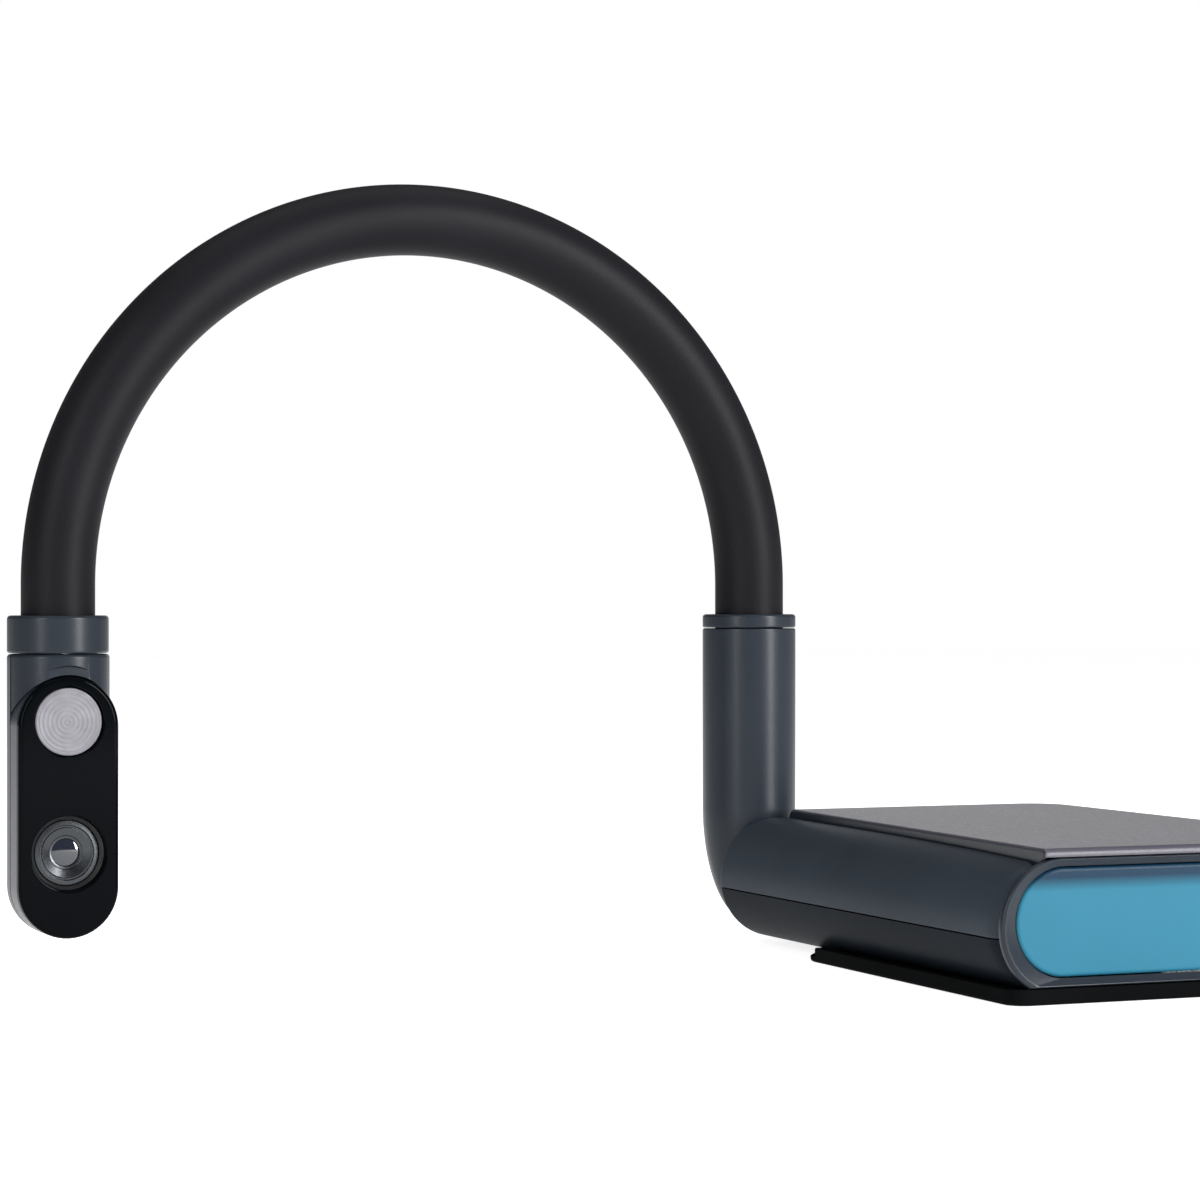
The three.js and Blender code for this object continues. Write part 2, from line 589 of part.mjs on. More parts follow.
function buildPost() {
  const shellTop = COLLAR_Z - GAP;
  const hubHole = turnedY(rod(HUB_RADIUS + GAP, BACK - OVERRUN, POST_Y), SPINE_X, SPINE_Z);
  const shell = combine(turnedZ(postProfile(0, shellTop), SPINE_X, POST_Y))
    .cut(turnedZ(postProfile(WALL, shellTop + OVERRUN), SPINE_X, POST_Y), hubHole)
    .done();
  add('post_shell', shell, SLATE);

  // Cast core: a cross tube on the axle and an upright that holds the gooseneck's ferrule
  const upright = turnedZ(rod(CORE.radius, CORE.low, CORE.top), SPINE_X, POST_Y);
  const web = turnedZ(rod(WEB.radius, SPINE_Z, WEB.top), SPINE_X, POST_Y);
  const crossTube = turnedY(rod(HUB_RADIUS, HUB_FRONT, CROSS_TUBE_BACK), SPINE_X, SPINE_Z);
  const axleHole = turnedY(rod(AXLE_RADIUS + GAP, HUB_FRONT - OVERRUN, AXLE_BACK + OVERRUN),
    SPINE_X, SPINE_Z, SMOOTH);
  const core = combine(upright)
    .join(web, crossTube)
    .cut(axleHole)
    .cut(turnedZ(rod(CORE.bore, CORE.boreFloor, CORE.top + OVERRUN), SPINE_X, POST_Y))
    .cut(turnedZ(rod(CORE.wayRadius, SPINE_Z, CORE.top + OVERRUN), SPINE_X, POST_Y, SMOOTH / 2))
    .done();
  add('elbow_core', core, SILVER);

  const bore = NECK_RADIUS + GAP;
  const collar = [[bore, COLLAR_Z], [POST_RADIUS, COLLAR_Z], [POST_RADIUS, COLLAR_TOP_Z - COLLAR_EDGE],
    [POST_RADIUS - COLLAR_EDGE, COLLAR_TOP_Z], [bore + COLLAR_LIP, COLLAR_TOP_Z],
    [bore, COLLAR_TOP_Z - COLLAR_LIP], [bore, COLLAR_Z]];
  add('post_collar', turnedZ(collar, SPINE_X, POST_Y), SLATE);
  const ferrule = tube(CORE.bore - GAP, FERRULE.bore, CORE.boreFloor + GAP, FERRULE.top);
  add('lower_ferrule', turnedZ(ferrule, SPINE_X, POST_Y, SMOOTH), STEEL);
}

// ---- gooseneck ------------------------------------------------------------------------------

// Point of the arch's centreline: turn is 0 at the post and half a turn at the head
function archPoint(turn) {
  const x = SPINE_X - ARCH_RADIUS + ARCH_RADIUS * Math.cos(turn);
  return new THREE.Vector3(x, POST_Y, ARCH_Z + ARCH_RADIUS * Math.sin(turn));
}

class ArchPath extends THREE.Curve {
  constructor(from, to) {
    super();
    this.from = from;
    this.to = to;
  }

  getPoint(t) {
    return archPoint(this.from + (this.to - this.from) * t);
  }
}

function sleeveSection() {
  const shape = new THREE.Shape();
  shape.absarc(0, 0, NECK_RADIUS, 0, Math.PI * 2, false);
  return shape;
}

function archLength(from, to) {
  const stepsPerRadian = 18;
  const steps = Math.round((to - from) * stepsPerRadian);
  const extrudePath = new ArchPath(from, to);
  return new THREE.ExtrudeGeometry(sleeveSection(), { steps, extrudePath, curveSegments: SMOOTH / 2 });
}

function buildGooseneck() {
  const pitch = Math.PI / (LINKS - 1);
  const trim = LINK_GAP / 2 / ARCH_RADIUS;
  const leadBottom = COLLAR_TOP_Z - LEAD_DEPTH;
  const overlap = 0.01;
  for (let link = 1; link <= LINKS; link += 1) {
    const from = Math.max(0, pitch * (link - 1.5) + trim);
    const to = Math.min(Math.PI, pitch * (link - 0.5) - trim);
    const name = `gooseneck_length_${String(link).padStart(2, '0')}`;
    if (link > 1 && link < LINKS) {
      add(name, closed(archLength(from, to)), SLEEVE);
      continue;
    }
    const x = link === 1 ? SPINE_X : HEAD_X;
    const lead = turnedZ(rod(NECK_RADIUS, leadBottom, ARCH_Z + overlap), x, POST_Y, SMOOTH);
    add(name, combine(archLength(from, to)).join(lead).done(), SLEEVE);
  }
}

// ---- camera head ----------------------------------------------------------------------------

const NECK_COLLAR_BOTTOM = HEAD_TOP_Z + GAP;
const NECK_COLLAR_FLOOR = NECK_COLLAR_BOTTOM + 0.9;
const NECK_COLLAR_BEVEL = 0.6;
const SWIVEL_RADIUS = 4.6;
const SWIVEL_BORE = 2.6;
const SWIVEL_TOP_GAP = 0.2;
const CLIP = { radius: 8, thick: 2 };
const HEAD_ROOF = 3;
const FRAME_WALL = 2;
const CRESCENT = { margin: 3.2, depth: 1.4 };   // recess in the rear shell round the face's top
const HEAD_SCREW = { z: [30, 72], radius: 1.1, length: 7, headRadius: 2.4, headThick: 1 };
const HEAD_SCREW_SEAT = { radius: 2.8, depth: 1.4 };

// Upright cylinder on the head's axis, round at the back and square-sided towards the front
function headPlan(inset, frontY) {
  const half = HEAD_HALF_WIDTH - inset;
  const shape = new THREE.Shape();
  shape.moveTo(HEAD_X - half, frontY);
  shape.lineTo(HEAD_X + half, frontY);
  shape.absarc(HEAD_X, POST_Y, half, 0, Math.PI, false);
  return shape;
}

function buildNeckCollar() {
  const bore = NECK_RADIUS + GAP;
  const hole = SWIVEL_RADIUS + GAP;
  const collar = [[hole, NECK_COLLAR_BOTTOM], [POST_RADIUS - NECK_COLLAR_BEVEL, NECK_COLLAR_BOTTOM],
    [POST_RADIUS, NECK_COLLAR_BOTTOM + NECK_COLLAR_BEVEL], [POST_RADIUS, COLLAR_TOP_Z - COLLAR_EDGE],
    [POST_RADIUS - COLLAR_EDGE, COLLAR_TOP_Z], [bore + COLLAR_LIP, COLLAR_TOP_Z],
    [bore, COLLAR_TOP_Z - COLLAR_LIP], [bore, NECK_COLLAR_FLOOR], [hole, NECK_COLLAR_FLOOR],
    [hole, NECK_COLLAR_BOTTOM]];
  add('neck_collar', turnedZ(collar, HEAD_X, POST_Y), SLATE);

  const swivel = tube(SWIVEL_RADIUS, SWIVEL_BORE, HEAD_FACE_TOP_Z + 2 * GAP,
    NECK_COLLAR_FLOOR - SWIVEL_TOP_GAP);
  add('swivel_tube', turnedZ(swivel, HEAD_X, POST_Y, SMOOTH), STEEL);
  const clipTop = HEAD_TOP_Z - HEAD_ROOF - GAP;
  const clip = tube(CLIP.radius, hole, clipTop - CLIP.thick, clipTop);
  add('swivel_clip', turnedZ(clip, HEAD_X, POST_Y, SMOOTH), STEEL);
}

const HEAD_REACH = 30;
const HEAD_BEFORE = FACE_Y - HEAD_REACH;   // well in front of the head and well behind it, for cutters
const HEAD_BEHIND = POST_Y + HEAD_REACH;

// The head seen from the front, drawn out along Y: square at the top, round at the bottom
function headOutline(inset, top) {
  const half = HEAD_HALF_WIDTH - inset;
  const shape = new THREE.Shape();
  shape.moveTo(HEAD_X + half, top);
  shape.lineTo(HEAD_X - half, top);
  shape.absarc(HEAD_X, HEAD_BOTTOM_Z + HEAD_HALF_WIDTH, half, Math.PI, Math.PI * 2, false);
  return alongY(shape, HEAD_BEFORE, HEAD_BEHIND, SMOOTH / 2);
}

// The face seen from the front, round at both ends, larger all round by the margin
function faceShape(margin) {
  return stadium(HEAD_X, HEAD_HALF_WIDTH + margin, HEAD_BOTTOM_Z - margin, HEAD_FACE_TOP_Z + margin);
}

function buildRearShell() {
  const partingBack = PARTING_Y + GAP / 2;
  const behindParting = box(HEAD_X - HEAD_REACH, HEAD_X + HEAD_REACH, partingBack, HEAD_BEHIND,
    0, COLLAR_TOP_Z);
  const arcZ = HEAD_FACE_TOP_Z - HEAD_HALF_WIDTH;
  const hollowTop = HEAD_TOP_Z - HEAD_ROOF;
  const hollow = combine(alongZ(headPlan(WALL, PARTING_Y - OVERRUN), 0, hollowTop))
    .keep(headOutline(WALL, hollowTop))
    .join(turnedZ(rod(HEAD_HALF_WIDTH - WALL, arcZ, hollowTop), HEAD_X, POST_Y))
    .done();
  const crescentBack = POST_Y - HEAD_HALF_WIDTH + CRESCENT.depth;
  const swivelHole = rod(SWIVEL_RADIUS + GAP, hollowTop - OVERRUN, HEAD_TOP_Z + OVERRUN);
  const seatY = POST_Y + HEAD_HALF_WIDTH - HEAD_SCREW_SEAT.depth;
  const rear = combine(alongZ(headPlan(0, HEAD_BEFORE), 0, HEAD_TOP_Z))
    .keep(headOutline(0, HEAD_TOP_Z))
    .keep(behindParting)
    .join(turnedZ(rod(HEAD_HALF_WIDTH, arcZ, HEAD_TOP_Z), HEAD_X, POST_Y))
    .cut(alongY(faceShape(GAP), HEAD_BEFORE, partingBack, SMOOTH / 2))
    .cut(alongY(faceShape(CRESCENT.margin), HEAD_BEFORE, crescentBack, SMOOTH / 2))
    .cut(hollow)
    .cut(turnedZ(swivelHole, HEAD_X, POST_Y, SMOOTH));
  for (const z of HEAD_SCREW.z) {
    rear.cut(turnedY(rod(HEAD_SCREW_SEAT.radius, seatY, HEAD_BEHIND), HEAD_X, z, SMOOTH / 2));
    rear.cut(turnedY(rod(HEAD_SCREW.radius + GAP, POST_Y, HEAD_BEHIND), HEAD_X, z, SMOOTH / 2));
  }
  add('head_rear_shell', rear.done(), SLATE);

  const { radius, headRadius, headThick } = HEAD_SCREW;
  const headFront = seatY + GAP;
  const tip = headFront - HEAD_SCREW.length;
  const screw = [[0, tip], [radius, tip], [radius, headFront], [headRadius, headFront],
    [headRadius, headFront + headThick], [0, headFront + headThick]];
  HEAD_SCREW.z.forEach((z, index) => {
    add(`head_screw_${index + 1}`, turnedY(screw, HEAD_X, z, SMOOTH / 2), STEEL);
  });
}

function buildHeadFront() {
  const frame = combine(alongY(faceShape(0), FACE_Y + FACE_THICK + GAP, PARTING_Y - GAP / 2))
    .cut(alongY(faceShape(-FRAME_WALL), HEAD_BEFORE, HEAD_BEHIND))
    .done();
  add('head_front_frame', frame, SLATE);

  const plate = combine(alongY(faceShape(0), FACE_Y, FACE_Y + FACE_THICK))
    .cut(turnedY(rod(LED_RADIUS + GAP, HEAD_BEFORE, HEAD_BEHIND), HEAD_X, LED_Z))
    .cut(turnedY(rod(LENS_WINDOW_RADIUS, HEAD_BEFORE, HEAD_BEHIND), HEAD_X, LENS_Z))
    .done();
  add('face_plate', plate, GLOSS_BLACK);
}

const DIFFUSER_SHAPE = { recess: 1, thick: 2.4, bevel: 0.6 };
const LED_BOARD = { setBack: 6, radius: 10, thick: 1.2, chipHalf: 2, chipRise: 1 };
const LENS_RING = { bore: 6, slope: 1.4, bevel: 0.6, thick: 3 };
const BARREL = { radius: 9, bore: 5, length: 9 };
const GLASS_FRONT = [[0, -0.9], [2, -0.75], [4, -0.3], [5.7, 0.4]];   // [radius, depth] of its dome
const GLASS_BACK = 1.2;
const GLASS_SEAT = 1.6;
const SENSOR_BOARD = { halfWidth: 10, below: 12, above: 14, thick: 1.2 };

function buildOptics() {
  const diffuserFront = FACE_Y + DIFFUSER_SHAPE.recess;
  const diffuserBack = diffuserFront + DIFFUSER_SHAPE.thick;
  const { bevel } = DIFFUSER_SHAPE;
  const diffuser = [[0, diffuserFront], [LED_RADIUS - bevel, diffuserFront],
    [LED_RADIUS, diffuserFront + bevel], [LED_RADIUS, diffuserBack], [0, diffuserBack]];
  add('led_diffuser', turnedY(diffuser, HEAD_X, LED_Z), DIFFUSER);

  const boardFront = diffuserFront + LED_BOARD.setBack;
  const { chipHalf, chipRise } = LED_BOARD;
  const chip = box(HEAD_X - chipHalf, HEAD_X + chipHalf, boardFront - chipRise, boardFront + chipRise / 2,
    LED_Z - chipHalf, LED_Z + chipHalf);
  const ledBoard = combine(turnedY(rod(LED_BOARD.radius, boardFront, boardFront + LED_BOARD.thick),
    HEAD_X, LED_Z, SMOOTH)).join(chip).done();
  add('led_board', ledBoard, BOARD_GREEN);

  const ringFront = FACE_Y + LENS_RECESS;
  const ringBack = ringFront + LENS_RING.thick;
  const { bore, slope } = LENS_RING;
  const ring = [[bore, ringFront + slope], [LENS_RING_RADIUS - slope, ringFront],
    [LENS_RING_RADIUS, ringFront + LENS_RING.bevel], [LENS_RING_RADIUS, ringBack],
    [bore, ringBack], [bore, ringFront + slope]];
  add('lens_ring', turnedY(ring, HEAD_X, LENS_Z), SILVER);

  const barrelFront = ringBack + GAP;
  const barrelBack = barrelFront + BARREL.length;
  const barrel = tube(BARREL.radius, BARREL.bore, barrelFront, barrelBack);
  add('lens_barrel', turnedY(barrel, HEAD_X, LENS_Z, SMOOTH), GLOSS_BLACK);

  const seat = ringFront + GLASS_SEAT;
  const glassRadius = bore - GAP;
  const glass = GLASS_FRONT.map(([radius, depth]) => [radius, seat + depth])
    .concat([[glassRadius, seat + GLASS_BACK], [0, seat + GLASS_BACK]]);
  add('front_lens', turnedY(glass, HEAD_X, LENS_Z, SMOOTH), GLASS);

  const sensorY = barrelBack + GAP;
  const { halfWidth, below: under, above: over, thick } = SENSOR_BOARD;
  const sensor = box(HEAD_X - halfWidth, HEAD_X + halfWidth, sensorY, sensorY + thick,
    LENS_Z - under, LENS_Z + over);
  add('sensor_board', sensor, BOARD_GREEN);
}

buildHousing();
buildFoot();
buildFrontEnd();
buildRearEnd();
buildInsides();
buildControls();
buildHinge();
buildPost();
buildGooseneck();
buildNeckCollar();
buildRearShell();
buildHeadFront();
buildOptics();

export default group;
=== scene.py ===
"""Looks of the desktop video magnifier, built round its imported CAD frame.

Shapes are worked out in millimetres, +Z up, and turned into metres when a mesh is made.
"""

import json
import math

import bmesh
import bpy
from mathutils import Matrix, Vector


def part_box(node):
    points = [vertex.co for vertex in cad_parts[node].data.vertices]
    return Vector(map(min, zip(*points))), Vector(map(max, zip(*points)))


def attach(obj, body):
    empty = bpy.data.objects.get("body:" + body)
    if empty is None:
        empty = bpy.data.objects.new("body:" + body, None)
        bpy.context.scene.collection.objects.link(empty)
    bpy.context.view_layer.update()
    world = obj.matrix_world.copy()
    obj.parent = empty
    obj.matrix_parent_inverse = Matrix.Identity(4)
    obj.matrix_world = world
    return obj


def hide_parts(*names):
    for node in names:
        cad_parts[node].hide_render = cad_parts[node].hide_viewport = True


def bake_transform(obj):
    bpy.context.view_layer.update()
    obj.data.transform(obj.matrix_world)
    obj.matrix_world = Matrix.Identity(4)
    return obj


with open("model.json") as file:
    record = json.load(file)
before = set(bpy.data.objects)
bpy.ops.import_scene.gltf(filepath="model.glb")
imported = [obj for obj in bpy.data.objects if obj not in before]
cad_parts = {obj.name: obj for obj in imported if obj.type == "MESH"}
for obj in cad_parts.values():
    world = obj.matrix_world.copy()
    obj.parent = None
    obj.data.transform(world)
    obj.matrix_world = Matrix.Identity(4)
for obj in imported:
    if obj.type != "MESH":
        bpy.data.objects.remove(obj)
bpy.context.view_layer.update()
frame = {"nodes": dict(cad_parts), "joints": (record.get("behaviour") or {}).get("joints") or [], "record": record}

MM = 0.001


# ---- places taken from the frame ------------------------------------------------------------

def box_mm(node):
    low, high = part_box(node)
    return low / MM, high / MM


def joint_place(name):
    joint = next(joint for joint in frame["joints"] if joint["name"] == name)
    return Vector(joint["pos_m"]) / MM


TRAY_LOW, TRAY_HIGH = box_mm("base_tray")
SPINE_LOW, SPINE_HIGH = box_mm("spine_cover")
DECK_LOW, DECK_HIGH = box_mm("top_panel")
PANEL_LOW, PANEL_HIGH = box_mm("blue_end_panel")
FOOT_LOW, FOOT_HIGH = box_mm("foot_plate")
PORTS_LOW, PORTS_HIGH = box_mm("port_panel")
FASCIA_LOW, FASCIA_HIGH = box_mm("control_fascia")
POST_LOW, POST_HIGH = box_mm("post_shell")
COLLAR_LOW, COLLAR_HIGH = box_mm("post_collar")
NECK_COLLAR_LOW, NECK_COLLAR_HIGH = box_mm("neck_collar")
LEAD_LOW = box_mm("gooseneck_length_01")[0]
REAR_LOW, REAR_HIGH = box_mm("head_rear_shell")
FRAME_LOW, FRAME_HIGH = box_mm("head_front_frame")
FACE_LOW, FACE_HIGH = box_mm("face_plate")
DIFFUSER_LOW, DIFFUSER_HIGH = box_mm("led_diffuser")
RING_LOW, RING_HIGH = box_mm("lens_ring")
LENS_LOW, LENS_HIGH = box_mm("front_lens")
LAMP_Z = (DIFFUSER_LOW.z + DIFFUSER_HIGH.z) / 2
LENS_Z = (RING_LOW.z + RING_HIGH.z) / 2

SPINE_X, POST_Y, SPINE_Z = joint_place("arm_fold")
HEAD_X = joint_place("head_turn").x
SPINE_RADIUS = SPINE_X - SPINE_LOW.x
RIGHT = TRAY_HIGH.x
FRONT, BACK = DECK_LOW.y, TRAY_HIGH.y
MIDDLE_Y = (FRONT + BACK) / 2
DECK_TOP = DECK_HIGH.z
BODY_BOTTOM = TRAY_LOW.z

GAP = 0.3                        # clearance between neighbouring pieces
WALL = 2.2                       # wall of the moulded housings
SLEEVE_RADIUS = 12               # gooseneck over its rubber sleeve
PLAN_RADIUS = 16                 # upright corners on the base's right side
EDGE = 3                         # its long edges
DECK_THICK = 2.5
SKIRT_DEPTH = 5.3                # the deck's left edge turns down this far
SHELL_FRONT = FRONT + 3.6        # the housing ends here, behind the bezel
MOUTH_LENGTH = 6                 # and narrows towards the bezel over this length
MOUTH_DROP = 3
PORT_CORNER = 1.2                # corners of the rear port plate
KEYPAD_CORNER = 3
SWIVEL_HOLE = 4.9                # radius of the way for the head's swivel tube

# The seam beside the deck runs slantwise from front to back
SEAM_FRONT_X = DECK_LOW.x - GAP
SEAM_BACK_X = SPINE_HIGH.x + GAP


# ---- mesh helpers ---------------------------------------------------------------------------

def arc(centre, radius, start, end, steps):
    """Points of a circular arc, with its angles in degrees."""
    points = []
    for i in range(steps + 1):
        angle = math.radians(start + (end - start) * i / steps)
        points.append((centre[0] + radius * math.cos(angle), centre[1] + radius * math.sin(angle)))
    return points


def filleted(points, radii, closed=False, steps=5):
    """The outline with each corner rounded to its radius; 0 leaves a corner sharp."""
    outline = []
    for i, (point, radius) in enumerate(zip(points, radii)):
        ends = not closed and i in (0, len(points) - 1)
        if radius == 0 or ends:
            outline.append(tuple(point))
            continue
        corner = Vector(point)
        back = Vector(points[i - 1]) - corner
        ahead = Vector(points[(i + 1) % len(points)]) - corner
        half = back.angle(ahead) / 2
        trim = min(radius / math.tan(half), 0.49 * back.length, 0.49 * ahead.length)
        reach = trim * math.tan(half)
        centre = corner + (back.normalized() + ahead.normalized()).normalized() * reach / math.sin(half)
        start = corner + back.normalized() * trim - centre
        end = corner + ahead.normalized() * trim - centre
        turn = start.angle_signed(end)
        for k in range(steps + 1):
            spoke = start.copy()
            spoke.rotate(Matrix.Rotation(-turn * k / steps, 2))
            outline.append(tuple(centre + spoke))
    return outline


def stack(rings, loop=False):
    """A closed form through rings of equal length, capped at both ends or closed on itself."""
    form = bmesh.new()
    layers = [[form.verts.new(Vector(point) * MM) for point in ring] for ring in rings]
    pairs = list(zip(layers, layers[1:]))
    if loop:
        pairs.append((layers[-1], layers[0]))
    for low, high in pairs:
        for i in range(len(low)):
            j = (i + 1) % len(low)
            form.faces.new((low[i], low[j], high[j], high[i]))
    if not loop:
        form.faces.new(layers[0][::-1])
        form.faces.new(layers[-1])
    bmesh.ops.remove_doubles(form, verts=form.verts, dist=1e-3 * MM)
    bmesh.ops.recalc_face_normals(form, faces=form.faces)
    return form


def lathe(profile, place, axis="Z", loop=False, segments=96):
    """A turned form; profile points are (radius, height), place is where its axis stands."""
    rings = []
    for radius, height in profile:
        ring = []
        for i in range(segments):
            angle = math.tau * i / segments
            across = place[0] + radius * math.cos(angle)
            along = place[1] + radius * math.sin(angle)
            ring.append((across, along, height) if axis == "Z" else (across, height, along))
        rings.append(ring)
    return stack(rings, loop)


def slab(outlines, axis="Y"):
    """A form through flat outlines, each given as (outline, height along the axis)."""
    if axis == "Y":
        return stack([[(x, height, z) for x, z in outline] for outline, height in outlines])
    return stack([[(x, y, height) for x, y in outline] for outline, height in outlines])


def block(low, high):
    """A plain cutting block."""
    corners = [(low[0], low[1]), (high[0], low[1]), (high[0], high[1]), (low[0], high[1])]
    return slab([(corners, low[2]), (corners, high[2])], "Z")


def swept_frame(outer, inner, profile):
    """A frame between two outlines; profile points are (share of the way in, depth)."""
    rings = []
    for share, depth in profile:
        ring = []
        for start, end in zip(outer(depth), inner):
            spot = Vector(start).lerp(Vector(end), share)
            ring.append((spot.x, depth, spot.y))
        rings.append(ring)
    return stack(rings, loop=True)


def rounded_box(x0, x1, y0, y1, radius, steps=6):
    return filleted([(x0, y0), (x1, y0), (x1, y1), (x0, y1)], [radius] * 4, closed=True, steps=steps)


def stadium(half_width, bottom, top, offset=0.0, steps=32):
    """The head's face outline: straight sides and two round ends."""
    half = half_width + offset
    low = bottom + half_width
    high = top - half_width
    return arc((HEAD_X, low), half, 180, 360, steps) + arc((HEAD_X, high), half, 0, 180, steps)


def linked(form, name):
    mesh = bpy.data.meshes.new(name)
    form.to_mesh(mesh)
    form.free()
    made = bpy.data.objects.new(name, mesh)
    bpy.context.scene.collection.objects.link(made)
    return made


def combined(form, tools, operation="DIFFERENCE"):
    """The form after each tool is cut from it or joined to it."""
    base = linked(form, "work")
    helpers = [linked(tool, "tool") for tool in tools]
    for helper in helpers:
        step = base.modifiers.new("step", "BOOLEAN")
        step.operation = operation
        step.solver = "EXACT"
        step.object = helper
    graph = bpy.context.evaluated_depsgraph_get()
    mesh = bpy.data.meshes.new_from_object(base.evaluated_get(graph))
    result = bmesh.new()
    result.from_mesh(mesh)
    bmesh.ops.remove_doubles(result, verts=result.verts, dist=2e-3 * MM)
    bpy.data.meshes.remove(mesh)
    for spent in [base, *helpers]:
        bpy.data.meshes.remove(spent.data)
    return result


def piece(form, name, material, body="base", replaced=(), crease=32):
    """A finished piece: smooth shaded with crisp edges, riding on its body in place of its CAD nodes."""
    made = linked(form, name)
    made.data.materials.append(material)
    made.data.polygons.foreach_set("use_smooth", [True] * len(made.data.polygons))
    made.data.set_sharp_from_angle(angle=math.radians(crease))
    shade = made.modifiers.new("even shading", "WEIGHTED_NORMAL")
    shade.keep_sharp = True
    if body:
        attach(made, body)
    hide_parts(*replaced)
    return made


# ---- materials ------------------------------------------------------------------------------

def new_material(name):
    material = bpy.data.materials.new(name)
    material.use_nodes = True
    tree = material.node_tree
    return material, tree, tree.nodes["Principled BSDF"]


def object_noise(tree, scale, detail=3.0, roughness=0.5):
    place = tree.nodes.new("ShaderNodeTexCoord")
    noise = tree.nodes.new("ShaderNodeTexNoise")
    noise.inputs["Scale"].default_value = scale
    noise.inputs["Detail"].default_value = detail
    noise.inputs["Roughness"].default_value = roughness
    tree.links.new(place.outputs["Object"], noise.inputs["Vector"])
    return noise


def between(tree, source, low, high, from_low=0.3, from_high=0.7):
    span = tree.nodes.new("ShaderNodeMapRange")
    span.inputs["From Min"].default_value = from_low
    span.inputs["From Max"].default_value = from_high
    span.inputs["To Min"].default_value = low
    span.inputs["To Max"].default_value = high
    tree.links.new(source, span.inputs["Value"])
    return span.outputs["Result"]


def mixed_colour(tree, factor, dark, light):
    mix = tree.nodes.new("ShaderNodeMix")
    mix.data_type = "RGBA"
    mix.inputs["A"].default_value = (*dark, 1)
    mix.inputs["B"].default_value = (*light, 1)
    tree.links.new(factor, mix.inputs["Factor"])
    return mix.outputs["Result"]


def moulded(name, dark, light, roughness, grain, bump, coat=0.0, metallic=0.0, tone_scale=14,
            specular=0.5):
    """A surface with a slow change of tone, and a fine grain that its roughness and relief follow."""
    material, tree, shader = new_material(name)
    tone = object_noise(tree, tone_scale, 2.0)
    fine = object_noise(tree, grain, 2.0, 0.6)
    tree.links.new(mixed_colour(tree, between(tree, tone.outputs["Fac"], 0, 1), dark, light),
                   shader.inputs["Base Color"])
    tree.links.new(between(tree, fine.outputs["Fac"], *roughness), shader.inputs["Roughness"])
    if bump:
        relief = tree.nodes.new("ShaderNodeBump")
        relief.inputs["Strength"].default_value = bump
        relief.inputs["Distance"].default_value = 0.08 * MM
        tree.links.new(fine.outputs["Fac"], relief.inputs["Height"])
        tree.links.new(relief.outputs["Normal"], shader.inputs["Normal"])
    shader.inputs["Metallic"].default_value = metallic
    shader.inputs["Specular IOR Level"].default_value = specular
    shader.inputs["Coat Weight"].default_value = coat
    shader.inputs["Coat Roughness"].default_value = 0.05
    return material


SLATE = moulded("slate_plastic", (0.012, 0.0155, 0.021), (0.016, 0.021, 0.028),
                roughness=(0.28, 0.36), grain=2600, bump=0.25, specular=0.18)
BARREL = moulded("barrel_plastic", (0.022, 0.028, 0.036), (0.028, 0.036, 0.046),
                 roughness=(0.4, 0.5), grain=2600, bump=0.25, specular=0.05)
GLOSS_GREY = moulded("gloss_grey", (0.05, 0.047, 0.061), (0.06, 0.057, 0.073),
                     roughness=(0.3, 0.38), grain=900, bump=0.03, specular=0.2)
BLUE = moulded("blue_plastic", (0.0135, 0.104, 0.16), (0.016, 0.117, 0.178),
               roughness=(0.34, 0.44), grain=1800, bump=0.12, specular=0.1)
FOOT_RUBBER = moulded("foot_rubber", (0.0015, 0.0018, 0.002), (0.003, 0.0033, 0.0036),
                      roughness=(0.7, 0.85), grain=3000, bump=0.5, specular=0.02)
SLEEVE = moulded("sleeve_rubber", (0.004, 0.0038, 0.005), (0.0065, 0.0062, 0.008),
                 roughness=(0.45, 0.56), grain=2400, bump=0.35, specular=0.09)
GLOSS_BLACK = moulded("gloss_black", (0.001, 0.0015, 0.002), (0.0015, 0.002, 0.0028),
                      roughness=(0.05, 0.09), grain=500, bump=0.0, specular=0.03)
DIFFUSER = moulded("frosted_diffuser", (0.128, 0.125, 0.14), (0.168, 0.165, 0.183),
                   roughness=(0.5, 0.65), grain=700, bump=0.6, tone_scale=220)
SILVER = moulded("cast_metal", (0.32, 0.34, 0.36), (0.4, 0.42, 0.44),
                 roughness=(0.28, 0.4), grain=1500, bump=0.2, metallic=1.0)
LENS_BLACK = moulded("lens_well_black", (0.004, 0.0045, 0.005), (0.006, 0.0065, 0.007),
                     roughness=(0.35, 0.5), grain=1200, bump=0.2)
# Painted shade: the lower shell takes a darker copy of the slate plastic, standing in for the shade under the base
TRAY_PAINTED_SHADE = moulded("tray_plastic_painted_shade", (0.006, 0.008, 0.011), (0.009, 0.0115, 0.015),
               roughness=(0.4, 0.5), grain=2600, bump=0.25, specular=0.02)
LENS_METAL = moulded("lens_metal", (0.045, 0.049, 0.053), (0.065, 0.069, 0.074),
                     roughness=(0.25, 0.36), grain=1500, bump=0.2, metallic=1.0)
# Painted shade: a dark copy of the cast metal, for parts seen only in the shaded gap between barrel and post
CAST_PAINTED_SHADE = moulded("cast_metal_painted_shade", (0.02, 0.022, 0.025), (0.03, 0.033, 0.037),
                    roughness=(0.4, 0.5), grain=1500, bump=0.3)
STEEL = moulded("turned_steel", (0.42, 0.43, 0.44), (0.5, 0.51, 0.52),
                roughness=(0.22, 0.36), grain=2000, bump=0.15, metallic=1.0)
BUTTON = moulded("button_plastic", (0.2, 0.21, 0.225), (0.24, 0.25, 0.265),
                 roughness=(0.35, 0.45), grain=2600, bump=0.2)
BOARD = moulded("circuit_board", (0.008, 0.055, 0.022), (0.012, 0.085, 0.035),
                roughness=(0.3, 0.5), grain=400, bump=0.3, tone_scale=120)
